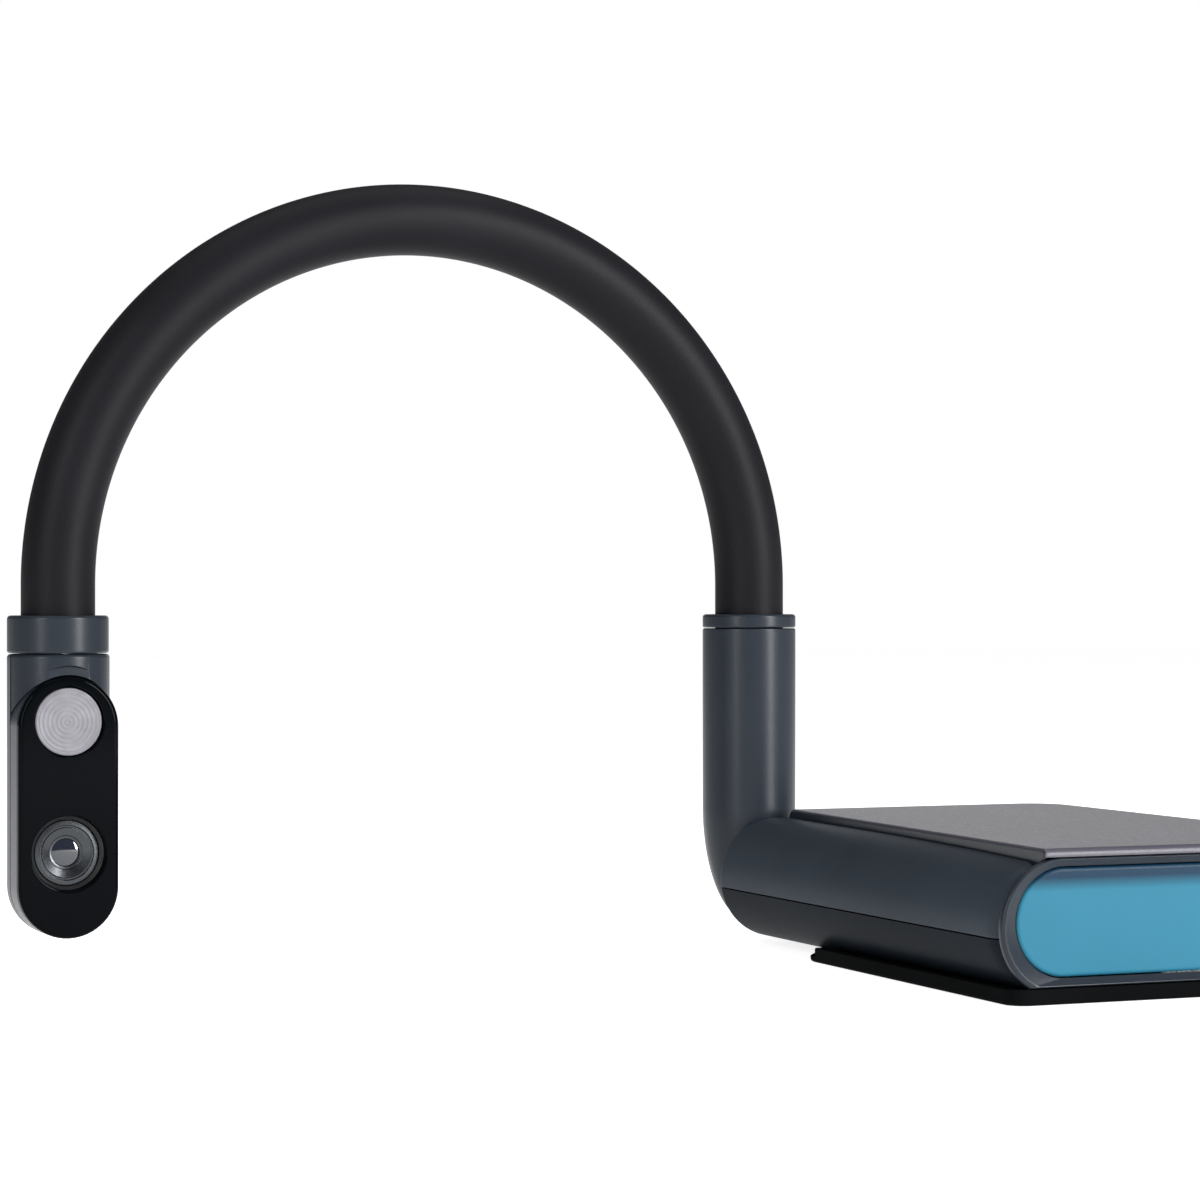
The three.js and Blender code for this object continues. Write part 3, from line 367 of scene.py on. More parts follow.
GLASS = moulded("lens_glass", (0.004, 0.006, 0.012), (0.006, 0.009, 0.018),
                roughness=(0.02, 0.04), grain=200, bump=0.0, coat=1.0)


def paint_shade_upwards(material, colour, low, high):
    """Painted shade: the colour deepens from height low to height high, given in millimetres."""
    tree = material.node_tree
    socket = tree.nodes["Principled BSDF"].inputs["Base Color"]
    plain = socket.links[0].from_socket
    place = tree.nodes.new("ShaderNodeTexCoord")
    split = tree.nodes.new("ShaderNodeSeparateXYZ")
    tree.links.new(place.outputs["Object"], split.inputs["Vector"])
    mix = tree.nodes.new("ShaderNodeMix")
    mix.data_type = "RGBA"
    mix.inputs["B"].default_value = (*colour, 1)
    tree.links.new(plain, mix.inputs["A"])
    tree.links.new(between(tree, split.outputs["Z"], 0, 1, low * MM, high * MM), mix.inputs["Factor"])
    tree.links.new(mix.outputs["Result"], socket)


# Painted shade: the blue panel darkens to navy under its upper edge, where the overhanging deck shades it
paint_shade_upwards(BLUE, (0.003, 0.02, 0.042), PANEL_HIGH.z - 7, PANEL_HIGH.z - 3)

SLOT_MATERIALS = {
    "slate_plastic": SLATE, "gloss_grey_plastic": GLOSS_GREY, "blue_plastic": BLUE,
    "foot_rubber": FOOT_RUBBER, "sleeve_rubber": SLEEVE, "gloss_black_plastic": GLOSS_BLACK,
    "diffuser_plastic": DIFFUSER, "button_plastic": BUTTON, "cast_metal": SILVER,
    "steel": STEEL, "circuit_board": BOARD, "lens_glass": GLASS,
}

for part in frame["record"]["subparts"]:
    node = frame["nodes"][part["node"]]
    node.data.materials.clear()
    # Painted shade: the hinge housing and elbow core sit in the shadowed gap, so they take the dark copy of the
    # cast metal
    dark = part["node"] in ("hinge_housing", "elbow_core")
    node.data.materials.append(CAST_PAINTED_SHADE if dark else SLOT_MATERIALS[part["material_slot"]])


# ---- base: housing --------------------------------------------------------------------------

def seam_x(y, offset):
    return SEAM_FRONT_X + (SEAM_BACK_X - SEAM_FRONT_X) * (y - FRONT) / (BACK - FRONT) + offset


def plan_x(y, inset):
    """Right side of the base at depth y; its upright corners are seen from above."""
    reach = max(abs(y - MIDDLE_Y) - ((BACK - FRONT) / 2 - PLAN_RADIUS), 0)
    radius = PLAN_RADIUS - inset
    return RIGHT - PLAN_RADIUS + math.sqrt(max(radius ** 2 - reach ** 2, 0))


def quarter(length, drop, steps=8):
    """(distance from the end, drop) along a rounded end."""
    angles = [math.pi / 2 * i / steps for i in range(steps + 1)]
    return [(length * (1 - math.cos(angle)), drop * (1 - math.sin(angle))) for angle in angles]


def shell_stations():
    """(depth, drop at the far end, drop at the near end) of the housing's sections."""
    straight_parts, corner_parts = 12, 10
    near = [(SHELL_FRONT + distance, 0, drop) for distance, drop in quarter(MOUTH_LENGTH, MOUTH_DROP)]
    straight_from = SHELL_FRONT + MOUTH_LENGTH
    corner_from = BACK - PLAN_RADIUS
    middle = [(straight_from + (corner_from - straight_from) * i / straight_parts, 0, 0)
              for i in range(1, straight_parts)]
    corner = [(corner_from + (PLAN_RADIUS - EDGE) * math.sin(math.pi / 2 * i / corner_parts), 0, 0)
              for i in range(corner_parts)]
    far = [(BACK - distance, drop, 0) for distance, drop in reversed(quarter(EDGE, EDGE))]
    inner_wall = [(BACK - WALL, EDGE - math.sqrt(EDGE ** 2 - (EDGE - WALL) ** 2), 0)]
    return sorted(near + middle + corner + far + inner_wall)


def wall_sections(y, inner, filled):
    """The inner outlines at depth y: hollow as far as the rear wall and filled through it."""
    if abs(y - (BACK - WALL)) < 1e-6:
        return [inner, filled]
    return [filled] if y > BACK - WALL else [inner]


def barrel_path(radius, start_z, edge_x, steps):
    """Round the barrel from height start_z on its left, over its top, to edge_x."""
    start = math.asin((start_z - SPINE_Z) / radius)
    across = edge_x - SPINE_X
    end = math.acos(min(-across / radius, 1)) if across < 0 else math.pi / 2
    flat = max(across, 0)
    length = radius * (end - start) + flat
    path = []
    for i in range(steps + 1):
        along = length * i / steps
        angle = min(start + along / radius, end)
        extra = max(along - radius * (end - start), 0)
        path.append((SPINE_X - radius * math.cos(angle) + extra, SPINE_Z + radius * math.sin(angle)))
    return path


def rounded_edge(path, reach, at_end, steps=3):
    """Points that turn the end of a path down through a small quarter circle."""
    tip = Vector(path[-1] if at_end else path[0])
    before = Vector(path[-2] if at_end else path[1])
    along = (tip - before).normalized()
    inward = Vector((along.y, -along.x)) if at_end else Vector((-along.y, along.x))
    points = []
    for i in range(1, steps + 1):
        angle = math.pi / 2 * i / steps
        ahead = along * reach * math.sin(angle)
        points.append(tuple(tip + ahead + inward * reach * (1 - math.cos(angle))))
    return points


def make_spine():
    low = SPINE_LOW.z
    lip, foot_round, set_back = 0.8, 0.5, 0.5
    rings = []
    for y, far_drop, near_drop in shell_stations():
        radius = SPINE_RADIUS - far_drop - near_drop
        edge_x = seam_x(y, -GAP - set_back)
        outer = barrel_path(radius, low + foot_round, edge_x - lip, 44)
        inner = barrel_path(radius - WALL, low, edge_x, 20)
        section = rounded_edge(outer, foot_round, False)[::-1] + outer
        section += rounded_edge(outer, lip, True) + inner[::-1]
        rings.append([(x, y, z) for x, z in section])
    piece(stack(rings), "spine_shell", BARREL, replaced=["spine_cover"])


def edge_fillet(y, drop, near_drop, bottom, steps=7):
    """The long right edge at depth y, from the flat face round to the upright wall."""
    full = math.asin(1 - (drop + near_drop) / EDGE)
    points = []
    for i in range(steps + 1):
        angle = full * (1 - i / steps)
        inset = EDGE * (1 - math.cos(angle)) + near_drop
        rise = EDGE * math.sin(angle)
        height = BODY_BOTTOM + EDGE - rise if bottom else DECK_TOP - EDGE + rise
        points.append((plan_x(y, inset), height))
    return points


def make_tray():
    top = SPINE_LOW.z - GAP
    rings = []
    for y, far_drop, near_drop in shell_stations():
        radius = SPINE_RADIUS - far_drop - near_drop
        start = math.degrees(math.asin((top - SPINE_Z) / radius))
        outer = arc((SPINE_X, SPINE_Z), radius, 180 - start, 270, 28)
        outer += edge_fillet(y, far_drop, near_drop, True)
        outer.append((plan_x(y, near_drop), top))
        inside = radius - WALL
        start = math.degrees(math.asin((top - SPINE_Z) / inside))
        inner = arc((SPINE_X, SPINE_Z), inside, 180 - start, 270, 14)
        wall_x = plan_x(y, WALL + near_drop)
        inner += [(wall_x, inner[-1][1]), (wall_x, top)]
        filled = [(x, top) for x, z in inner]
        for section in wall_sections(y, inner, filled):
            rings.append([(x, y, z) for x, z in outer + section[::-1]])
    tray = combined(stack(rings), [hinge_cutter(), port_cutter(), *screw_cutters()])
    # The lower shell wears the darker painted-shade copy of the slate plastic
    piece(tray, "base_shell", TRAY_PAINTED_SHADE, replaced=["base_tray"])


def hinge_cutter():
    radius = SPINE_RADIUS - WALL
    profile = [(0, BACK - 6), (radius, BACK - 6), (radius, BACK + 1), (0, BACK + 1)]
    return lathe(profile, (SPINE_X, SPINE_Z), "Y")


def port_cutter():
    outline = rounded_box(PORTS_LOW.x - GAP, PORTS_HIGH.x + GAP, PORTS_LOW.z - GAP, PORTS_HIGH.z + GAP,
                          PORT_CORNER)
    return slab([(outline, BACK - 8), (outline, BACK + 2)])


def screw_cutters():
    """Recesses in the underside where the case screws sit."""
    radius, top = 3.4, 7
    profile = [(0, 0), (radius, 0), (radius, top), (0, top)]
    cutters = []
    for number in range(1, 5):
        low, high = box_mm(f"case_screw_{number}")
        middle = (low + high) / 2
        cutters.append(lathe(profile, (middle.x, middle.y), segments=40))
    return cutters


def deck_section(y, drop, wall_bottom, skirt_bottom, ceiling):
    """The deck's outer and inner outlines at depth y; its top stands lower there by the drop."""
    edge = [(x, max(z, wall_bottom)) for x, z in edge_fillet(y, drop, 0, False)]
    top = edge[0][1]
    left = seam_x(y, GAP)
    lip, lip_steps = 1.0, 4
    outer = [(plan_x(y, 0), wall_bottom), *edge[::-1]]
    for i in range(lip_steps + 1):
        angle = math.pi / 2 * i / lip_steps
        outer.append((left + lip - lip * math.sin(angle), top - lip + lip * math.cos(angle)))
    outer.append((left, skirt_bottom))
    inner = [(left + WALL, skirt_bottom), (left + WALL, ceiling),
             (plan_x(y, WALL), ceiling), (plan_x(y, WALL), wall_bottom)]
    return outer, inner


def make_deck():
    low = SPINE_LOW.z
    ceiling = DECK_TOP - DECK_THICK
    skirt = DECK_TOP - SKIRT_DEPTH
    # The roof runs on over the bezel and rounds down at its front edge
    front_round = 2.0
    roof = [(FRONT + distance, drop) for distance, drop in quarter(front_round, front_round)]
    rings = []
    for y, drop in [*roof, (SHELL_FRONT, 0)]:
        outer, inner = deck_section(y, drop, ceiling, ceiling, ceiling)
        rings.append([(x, y, z) for x, z in outer + inner])
    for y, far_drop, _ in shell_stations():
        outer, inner = deck_section(y, far_drop, low, skirt, ceiling)
        left, right = seam_x(y, GAP), inner[3][0]
        filled = [(left, low), (left + WALL, low), (right - WALL, low), (right, low)]
        for section in wall_sections(y, inner, filled):
            rings.append([(x, y, z) for x, z in outer + section])
    keypad = rounded_box(FASCIA_LOW.x - GAP, FASCIA_HIGH.x + GAP, FASCIA_LOW.y - GAP, FASCIA_HIGH.y + GAP,
                         KEYPAD_CORNER + GAP)
    keypad_hole = slab([(keypad, DECK_TOP - 5), (keypad, DECK_TOP + 1)], "Z")
    form = combined(stack(rings), [keypad_hole, hinge_cutter(), port_cutter()])
    deck = piece(form, "top_deck", GLOSS_GREY, replaced=["top_panel"])
    # The faces of the side wall beside the seam take the darker slate material
    deck.data.materials.append(SLATE)
    for face in deck.data.polygons:
        beside_seam = face.center.x / MM < seam_x(face.center.y / MM, GAP + WALL)
        if beside_seam and face.normal.x < -0.6 and face.center.z / MM < DECK_TOP - 0.6:
            face.material_index = 1


def bezel_outline(depth, steps=40):
    """Outer edge of the bezel: round on the left, following the upright corner on the right."""
    low, high = FOOT_HIGH.z + GAP, SPINE_HIGH.z
    right = plan_x(depth, 0)
    stub, corner = 4, 1
    end = 180 - math.degrees(math.asin((low - SPINE_Z) / SPINE_RADIUS))
    outline = arc((SPINE_X, SPINE_Z), SPINE_RADIUS, 90, end, steps)
    outline += filleted([(right - stub, low), (right, low), (right, low + stub)], [0, corner, 0])
    outline += filleted([(right, high - stub), (right, high), (right - stub, high)], [0, corner, 0])
    return outline


def panel_outline(inset, steps=40):
    """Edge of the coloured end panel: round on the left, two small corners on the right."""
    radius = (PANEL_HIGH.z - PANEL_LOW.z) / 2 + GAP
    left, right = PANEL_LOW.x - GAP, PANEL_HIGH.x + GAP - inset
    centre = (left + radius, (PANEL_HIGH.z + PANEL_LOW.z) / 2)
    stub, corner = 4, 2
    outline = arc(centre, radius - inset, 90, 270, steps)
    low, high = centre[1] - radius + inset, centre[1] + radius - inset
    outline += filleted([(right - stub, low), (right, low), (right, low + stub)], [0, corner, 0])
    outline += filleted([(right, high - stub), (right, high), (right - stub, high)], [0, corner, 0])
    return outline


def make_near_end():
    back = FRONT + 2.6
    panel_front = FRONT + 1.9
    # From the outer edge's back round the front rim and down the chamfer to the panel
    profile = [(0.12, back), (0.03, back - 0.15), (0, back - 0.5), (0, FRONT + 1.1),
               (0.02, FRONT + 0.6), (0.07, FRONT + 0.2), (0.14, FRONT), (0.2, FRONT),
               (0.25, FRONT + 0.1), (0.29, FRONT + 0.3), (0.93, panel_front - 0.2),
               (0.98, panel_front - 0.05), (1, panel_front + 0.1), (1, back)]
    bezel = swept_frame(bezel_outline, panel_outline(0), profile)
    piece(bezel, "end_bezel", SLATE, replaced=["front_bezel"])

    edge, clearance = 1.3, 0.25
    outlines = [(panel_outline(clearance), FRONT + 3.3)]
    outlines += [(panel_outline(clearance + drop), panel_front + distance)
                 for distance, drop in reversed(quarter(edge, edge, 6))]
    piece(slab(outlines), "blue_end_face", BLUE, replaced=["blue_end_panel"])


def make_foot():
    left, right = FOOT_LOW.x, FOOT_HIGH.x
    near, far = FOOT_LOW.y, FOOT_HIGH.y
    notch_x, notch_y = -18, 36
    rim_width, rim_end = 3.4, notch_y - 4
    plate_top = BODY_BOTTOM - GAP
    rim_top = FOOT_HIGH.z
    reach = 5

    def outline(shrink):
        corners = [(left + shrink, near + shrink), (right - shrink, near + shrink),
                   (right - shrink, far - shrink), (notch_x + shrink, far - shrink), (left + shrink, notch_y)]
        return filleted(corners, [6, 6, 6, 8, 8], closed=True, steps=10)

    layers = [(0.9, 0), (0.35, 0.25), (0.08, 0.7), (0, 1.2),
              (0, rim_top - 0.5), (0.15, rim_top - 0.15), (0.5, rim_top)]
    plate = slab([(outline(shrink), height) for shrink, height in layers], "Z")
    pocket_left = left + rim_width
    pocket = block((pocket_left, near + 2, plate_top), (right + reach, far + reach, rim_top + 1))
    side = block((left - reach, rim_end, plate_top), (pocket_left + 1, far + reach, rim_top + 1))
    form = combined(plate, [pocket, side, *screw_cutters()])
    piece(form, "foot_pad", FOOT_RUBBER, replaced=["foot_plate"])


# ---- base: controls and ports ---------------------------------------------------------------

MARK_RISE = 0.16
MARK_HALF = (1.3, 0.25)          # half length and half width of a bar
RING_RADII = {"power_button": 1.2, "freeze_button": 1.6, "light_button": 0.8}
RING_WIDTH = 0.4


def bar(x, y, z, half_x, half_y):
    """A small raised bar with rounded ends, seen from above."""
    radius = min(half_x, half_y) * 0.98
    outline = rounded_box(x - half_x, x + half_x, y - half_y, y + half_y, radius, 4)
    return slab([(outline, z), (outline, z + MARK_RISE)], "Z")


def button_mark(name, x, y, z):
    """A ring on the first three buttons, a minus and a plus on the zoom buttons."""
    if name in RING_RADII:
        inner, outer = RING_RADII[name], RING_RADII[name] + RING_WIDTH
        profile = [(inner, z), (outer, z), (outer, z + MARK_RISE), (inner, z + MARK_RISE)]
        return lathe(profile, (x, y), loop=True, segments=48)
    long, short = MARK_HALF
    minus = bar(x, y, z, long, short)
    if name == "zoom_out_button":
        return minus
    return combined(minus, [bar(x, y, z, short, long)], "UNION")


def make_controls():
    low, high = FASCIA_LOW, FASCIA_HIGH
    layers = [(0, low.z), (0, high.z - 0.5), (0.15, high.z - 0.15), (0.5, high.z)]
    plate = slab([(rounded_box(low.x + shrink, high.x - shrink, low.y + shrink, high.y - shrink,
                               KEYPAD_CORNER - shrink), height) for shrink, height in layers], "Z")
    holes = []
    for name in [*RING_RADII, "zoom_out_button", "zoom_in_button"]:
        bottom, top = box_mm(name)
        middle = (bottom + top) / 2
        flange = (top.x - bottom.x) / 2
        cap = flange - 1
        hole = cap + GAP
        rim = hole + 0.5
        holes.append(lathe([(0, low.z - 1), (hole, low.z - 1), (hole, high.z - 0.4), (rim, high.z + 0.1),
                            (rim, high.z + 1), (0, high.z + 1)], (middle.x, middle.y), segments=64))
        profile = filleted([(0, bottom.z), (flange, bottom.z), (flange, bottom.z + 1), (cap, bottom.z + 1),
                            (cap, top.z), (cap - 0.9, top.z), (0, top.z - 0.35)],
                           [0, 0.2, 0.2, 0, 0.5, 0.6, 0])
        piece(lathe(profile, (middle.x, middle.y)), name + "_cap", BUTTON, name, [name])
        mark = button_mark(name, middle.x, middle.y, top.z - 0.32)
        piece(mark, name + "_mark", GLOSS_BLACK, name)
    piece(combined(plate, holes), "keypad_fascia", GLOSS_BLACK,
          replaced=["control_fascia"])


def make_ports():
    low, high = PORTS_LOW, PORTS_HIGH
    layers = [(0, low.y), (0, high.y - 0.5), (0.15, high.y - 0.15), (0.5, high.y)]
    plate = slab([(rounded_box(low.x + shrink, high.x - shrink, low.z + shrink, high.z - shrink,
                               PORT_CORNER), depth) for shrink, depth in layers])
    flare, mouth_corner = 0.6, 0.7
    cutters = []
    for name, half_x, half_z in [("usb_socket", 4.8, 4.4), ("video_socket", 8.1, 3.4)]:
        middle = sum(box_mm(name), Vector()) / 2
        mouth = rounded_box(middle.x - half_x, middle.x + half_x, middle.z - half_z, middle.z + half_z,
                            mouth_corner)
        wide = rounded_box(middle.x - half_x - flare, middle.x + half_x + flare,
                           middle.z - half_z - flare, middle.z + half_z + flare, PORT_CORNER)
        cutters.append(slab([(mouth, low.y - 1), (mouth, high.y - 0.5),
                             (wide, high.y + 0.1), (wide, high.y + 1)]))
    inside, outside = box_mm("power_inlet")
    middle = (inside + outside) / 2
    radius = 3.8
    inlet = [(0, low.y - 1), (radius, low.y - 1), (radius, high.y - 0.5), (radius + flare, high.y + 0.1),
             (radius + flare, high.y + 1), (0, high.y + 1)]
    cutters.append(lathe(inlet, (middle.x, middle.z), "Y", segments=64))
    pin = filleted([(0, inside.y + 2), (1, inside.y + 2), (1, outside.y - 2), (0, outside.y - 2)],
                   [0, 0, 0.8, 0])
    piece(lathe(pin, (middle.x, middle.z), "Y", segments=32), "power_pin", STEEL)
    piece(combined(plate, cutters), "rear_port_plate", GLOSS_BLACK,
          replaced=["port_panel"])


# ---- post -----------------------------------------------------------------------------------

def make_post():
    radius = (POST_HIGH.x - POST_LOW.x) / 2
    top = POST_HIGH.z
    dome = 40                    # height of the rounded lower end
    shoulder = POST_LOW.z + dome
    steps = 24

    def outline(inset, height):
        points = []
        for i in range(steps + 1):
            angle = math.pi / 2 * i / steps
            points.append(((radius - inset) * math.sin(angle), shoulder - (dome - inset) * math.cos(angle)))
        return points + [(radius - inset, height)]

    outer = outline(0, top - 0.5) + [(radius - 0.15, top - 0.15), (radius - 0.5, top)]
    inner = outline(WALL, top)
    shell = lathe(outer + inner[::-1], (SPINE_X, POST_Y), segments=128)
    hub_hole = 9.3
    hub = lathe([(0, BACK), (hub_hole, BACK), (hub_hole, POST_Y), (0, POST_Y)], (SPINE_X, SPINE_Z), "Y")
    piece(combined(shell, [hub]), "post_housing", SLATE, "arm", ["post_shell"])

    collar_radius = (COLLAR_HIGH.x - COLLAR_LOW.x) / 2
    low, high = COLLAR_LOW.z, COLLAR_HIGH.z
    bore = SLEEVE_RADIUS + GAP
    profile = filleted([(bore, low), (collar_radius, low), (collar_radius, high), (bore, high)],
                       [0, 0.5, 1.1, 0.8], closed=True)
    piece(lathe(profile, (SPINE_X, POST_Y), loop=True, segments=128), "post_cap_ring",
          SLATE, "arm", ["post_collar"])


# ---- gooseneck ------------------------------------------------------------------------------

BENDS = 9
BEND_PITCH = math.pi / BENDS
ARCH_RADIUS = (SPINE_X - HEAD_X) / 2
ARCH_Z = 124                     # the arch's centre, level with the end of its straight leads


def arch_point(turn, across=0.0, outward=0.0):
    reach = ARCH_RADIUS + outward
    return (SPINE_X - ARCH_RADIUS + reach * math.cos(turn), POST_Y + across, ARCH_Z + reach * math.sin(turn))


def sleeve_ring(turn, segments=72):
    ring = []
    for i in range(segments):
        angle = math.tau * i / segments
        ring.append(arch_point(turn, SLEEVE_RADIUS * math.sin(angle), SLEEVE_RADIUS * math.cos(angle)))
    return ring


def make_gooseneck():
    slices = 28
    for bend in range(BENDS):
        start, end = BEND_PITCH * bend, BEND_PITCH * (bend + 1)
        rings = [sleeve_ring(start + (end - start) * i / slices) for i in range(slices + 1)]
        nodes = [f"gooseneck_length_{bend + 1:02d}"]
        if bend == BENDS - 1:
            nodes.append(f"gooseneck_length_{BENDS + 1:02d}")
        sleeve = piece(stack(rings), f"gooseneck_sleeve_{bend + 1}", SLEEVE, None, nodes)
        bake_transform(sleeve)
    lead_bottom = LEAD_LOW.z
    for name, x, body in [("gooseneck_lead_low", SPINE_X, "arm"),
                          ("gooseneck_lead_head", HEAD_X, "neck_end")]:
        profile = [(0, lead_bottom), (SLEEVE_RADIUS, lead_bottom), (SLEEVE_RADIUS, ARCH_Z), (0, ARCH_Z)]
        piece(lathe(profile, (x, POST_Y), segments=72), name, SLEEVE, body)


# ---- camera head ----------------------------------------------------------------------------

def make_neck_collar():
    low, high = NECK_COLLAR_LOW.z, NECK_COLLAR_HIGH.z
    radius = (NECK_COLLAR_HIGH.x - NECK_COLLAR_LOW.x) / 2
    bore = SLEEVE_RADIUS + GAP
    floor = low + 0.9
    profile = filleted([(SWIVEL_HOLE, low), (radius, low), (radius, high), (bore, high), (bore, floor),
                        (SWIVEL_HOLE, floor)], [0, 0.7, 1.2, 0.8, 0, 0], closed=True)
    piece(lathe(profile, (HEAD_X, POST_Y), loop=True, segments=128), "neck_ring",
          SLATE, "neck_end", ["neck_collar"])


def head_body(radius, bottom, top, front, rounding):
    """Upright D section: round at the back with a ball-shaped lower end, flat at its front."""
    steps = 16
    centre_z = bottom + radius
    layers = []
    for i in range(1, steps + 1):
        angle = math.pi / 2 * i / steps
        layers.append((radius * math.sin(angle), centre_z - radius * math.cos(angle)))
    upright = top - rounding - centre_z
    layers += [(radius, centre_z + upright * i / steps) for i in range(1, steps)]
    layers += [(radius - shrink, top - drop) for drop, shrink in reversed(quarter(rounding, rounding, 4))]
    rings = []
    for half, height in layers:
        back = [(x, y, height) for x, y in arc((HEAD_X, POST_Y), half, 0, 180, 48)]
        rings.append(back + [(HEAD_X - half, front, height), (HEAD_X + half, front, height)])
    return stack(rings)


def make_head_screw(number):
    """Makes the screw and gives back the cutter for its seat."""
    low, high = box_mm(f"head_screw_{number}")
    z = (low.z + high.z) / 2
    seat = high.y - 1
    profile = filleted([(0, low.y), (1.1, low.y), (1.1, seat), (2.4, seat), (2.4, seat + 1), (0, seat + 1.3)],
                       [0, 0.3, 0, 0.1, 0.5, 0])
    slots = []
    for half_x, half_z in [(1.4, 0.3), (0.3, 1.4)]:
        outline = rounded_box(HEAD_X - half_x, HEAD_X + half_x, z - half_z, z + half_z, 0.2)
        slots.append(slab([(outline, seat + 0.3), (outline, seat + 2)]))
    screw = combined(lathe(profile, (HEAD_X, z), "Y", segments=48), slots)
    piece(screw, f"head_screw_head_{number}", STEEL, "head", [f"head_screw_{number}"])
    hole = 2.8
    recess = [(0, seat - GAP), (hole, seat - GAP), (hole, seat + 6), (0, seat + 6)]
    return lathe(recess, (HEAD_X, z), "Y", segments=48)


def make_head_rear():
    radius = (REAR_HIGH.x - REAR_LOW.x) / 2
    bottom, top = FACE_LOW.z, REAR_HIGH.z
    parting = FRAME_HIGH.y + GAP
    face_top = FACE_HIGH.z
    crown_from = face_top - radius
    top_round = 1.2
    roof = top - 3
    place = (HEAD_X, POST_Y)
    crown = lathe(filleted([(0, crown_from), (radius, crown_from), (radius, top), (0, top)],
                           [0, 0, top_round, 0]), place, segments=128)
    body = combined(head_body(radius, bottom, top, parting, top_round), [crown], "UNION")

    face_outline = stadium(radius, bottom, face_top, GAP)
    pocket = slab([(face_outline, parting - 20), (face_outline, parting)])
    # A crescent round the face's top is sunk into the cover, with a sloping edge
    recess_depth = 1.4
    recess_y = POST_Y - radius + recess_depth
    outline = stadium(radius, bottom, face_top, 2.8)
    wide = stadium(radius, bottom, face_top, 3.4)
    crescent = slab([(wide, recess_y - 10), (wide, recess_y - recess_depth), (outline, recess_y)])

    inside = radius - WALL
    room = lathe([(0, crown_from), (inside, crown_from), (inside, roof), (0, roof)], place)
    hollow = combined(head_body(inside, bottom + WALL, roof, parting - 3, 0.5), [room], "UNION")
    tube_hole = lathe([(0, roof - 1), (SWIVEL_HOLE, roof - 1), (SWIVEL_HOLE, top + 1), (0, top + 1)],
                      place, segments=48)
    seats = [make_head_screw(number) for number in (1, 2)]
    cover = combined(body, [pocket, crescent, hollow, tube_hole, *seats])
    piece(cover, "head_back_cover", SLATE, "head", ["head_rear_shell"])


def make_head_front():
    radius = (FACE_HIGH.x - FACE_LOW.x) / 2
    bottom, top = FACE_LOW.z, FACE_HIGH.z
    front, back = FRAME_LOW.y, FRAME_HIGH.y
    across = filleted([(0, front), (WALL, front), (WALL, back), (0, back)], [0.7, 0.2, 0.2, 0.5], closed=True)
    outer = stadium(radius, bottom, top)
    frame_ring = swept_frame(lambda depth: outer, stadium(radius, bottom, top, -WALL),
                             [(inward / WALL, depth) for inward, depth in across])
    piece(frame_ring, "head_side_frame", SLATE, "head", ["head_front_frame"])

    edge = 1.7
    outlines = [(stadium(radius, bottom, top, -0.2), FACE_HIGH.y),
                (stadium(radius, bottom, top), FACE_HIGH.y - 0.2)]
    outlines += [(stadium(radius, bottom, top, -drop), FACE_LOW.y + distance)
                 for distance, drop in reversed(quarter(edge, edge, 8))]
    face, behind = FACE_LOW.y, FACE_HIGH.y + 1
    lamp = (DIFFUSER_HIGH.x - DIFFUSER_LOW.x) / 2 + GAP
    lamp_hole = lathe([(0, face - 1), (lamp + 0.5, face - 1), (lamp + 0.5, face), (lamp, face + 0.5),
                       (lamp, behind), (0, behind)], (HEAD_X, LAMP_Z), "Y", segments=128)
    window = 12.0
    lens_hole = lathe([(0, face - 1), (window + 0.9, face - 1), (window + 0.9, face),
                       (window + 0.3, face + 0.35), (window - 0.4, behind), (0, behind)],
                      (HEAD_X, LENS_Z), "Y", segments=128)
    piece(combined(slab(outlines), [lamp_hole, lens_hole]), "head_face",
          GLOSS_BLACK, "head", ["face_plate"])


def make_lamp():
    """The frosted diffuser, with fine rings moulded into its front."""
    radius = (DIFFUSER_HIGH.x - DIFFUSER_LOW.x) / 2
    front, back = DIFFUSER_LOW.y, DIFFUSER_HIGH.y
    ridges, ridge_height, rim = 7, 0.16, 0.9
    profile = [(0, front + 0.1)]
    for ridge in range(ridges):
        for part, height in [(0.15, 0.0), (0.5, ridge_height), (0.85, 0.0)]:
            profile.append(((radius - rim) * (ridge + part) / ridges, front + 0.25 - height))
    profile += [(radius - 0.7, front + 0.1), (radius - 0.2, front + 0.25), (radius, front + 0.7),
                (radius, back), (0, back)]
    piece(lathe(profile, (HEAD_X, LAMP_Z), "Y", segments=128), "lamp_lens",
          DIFFUSER, "head", ["led_diffuser"])


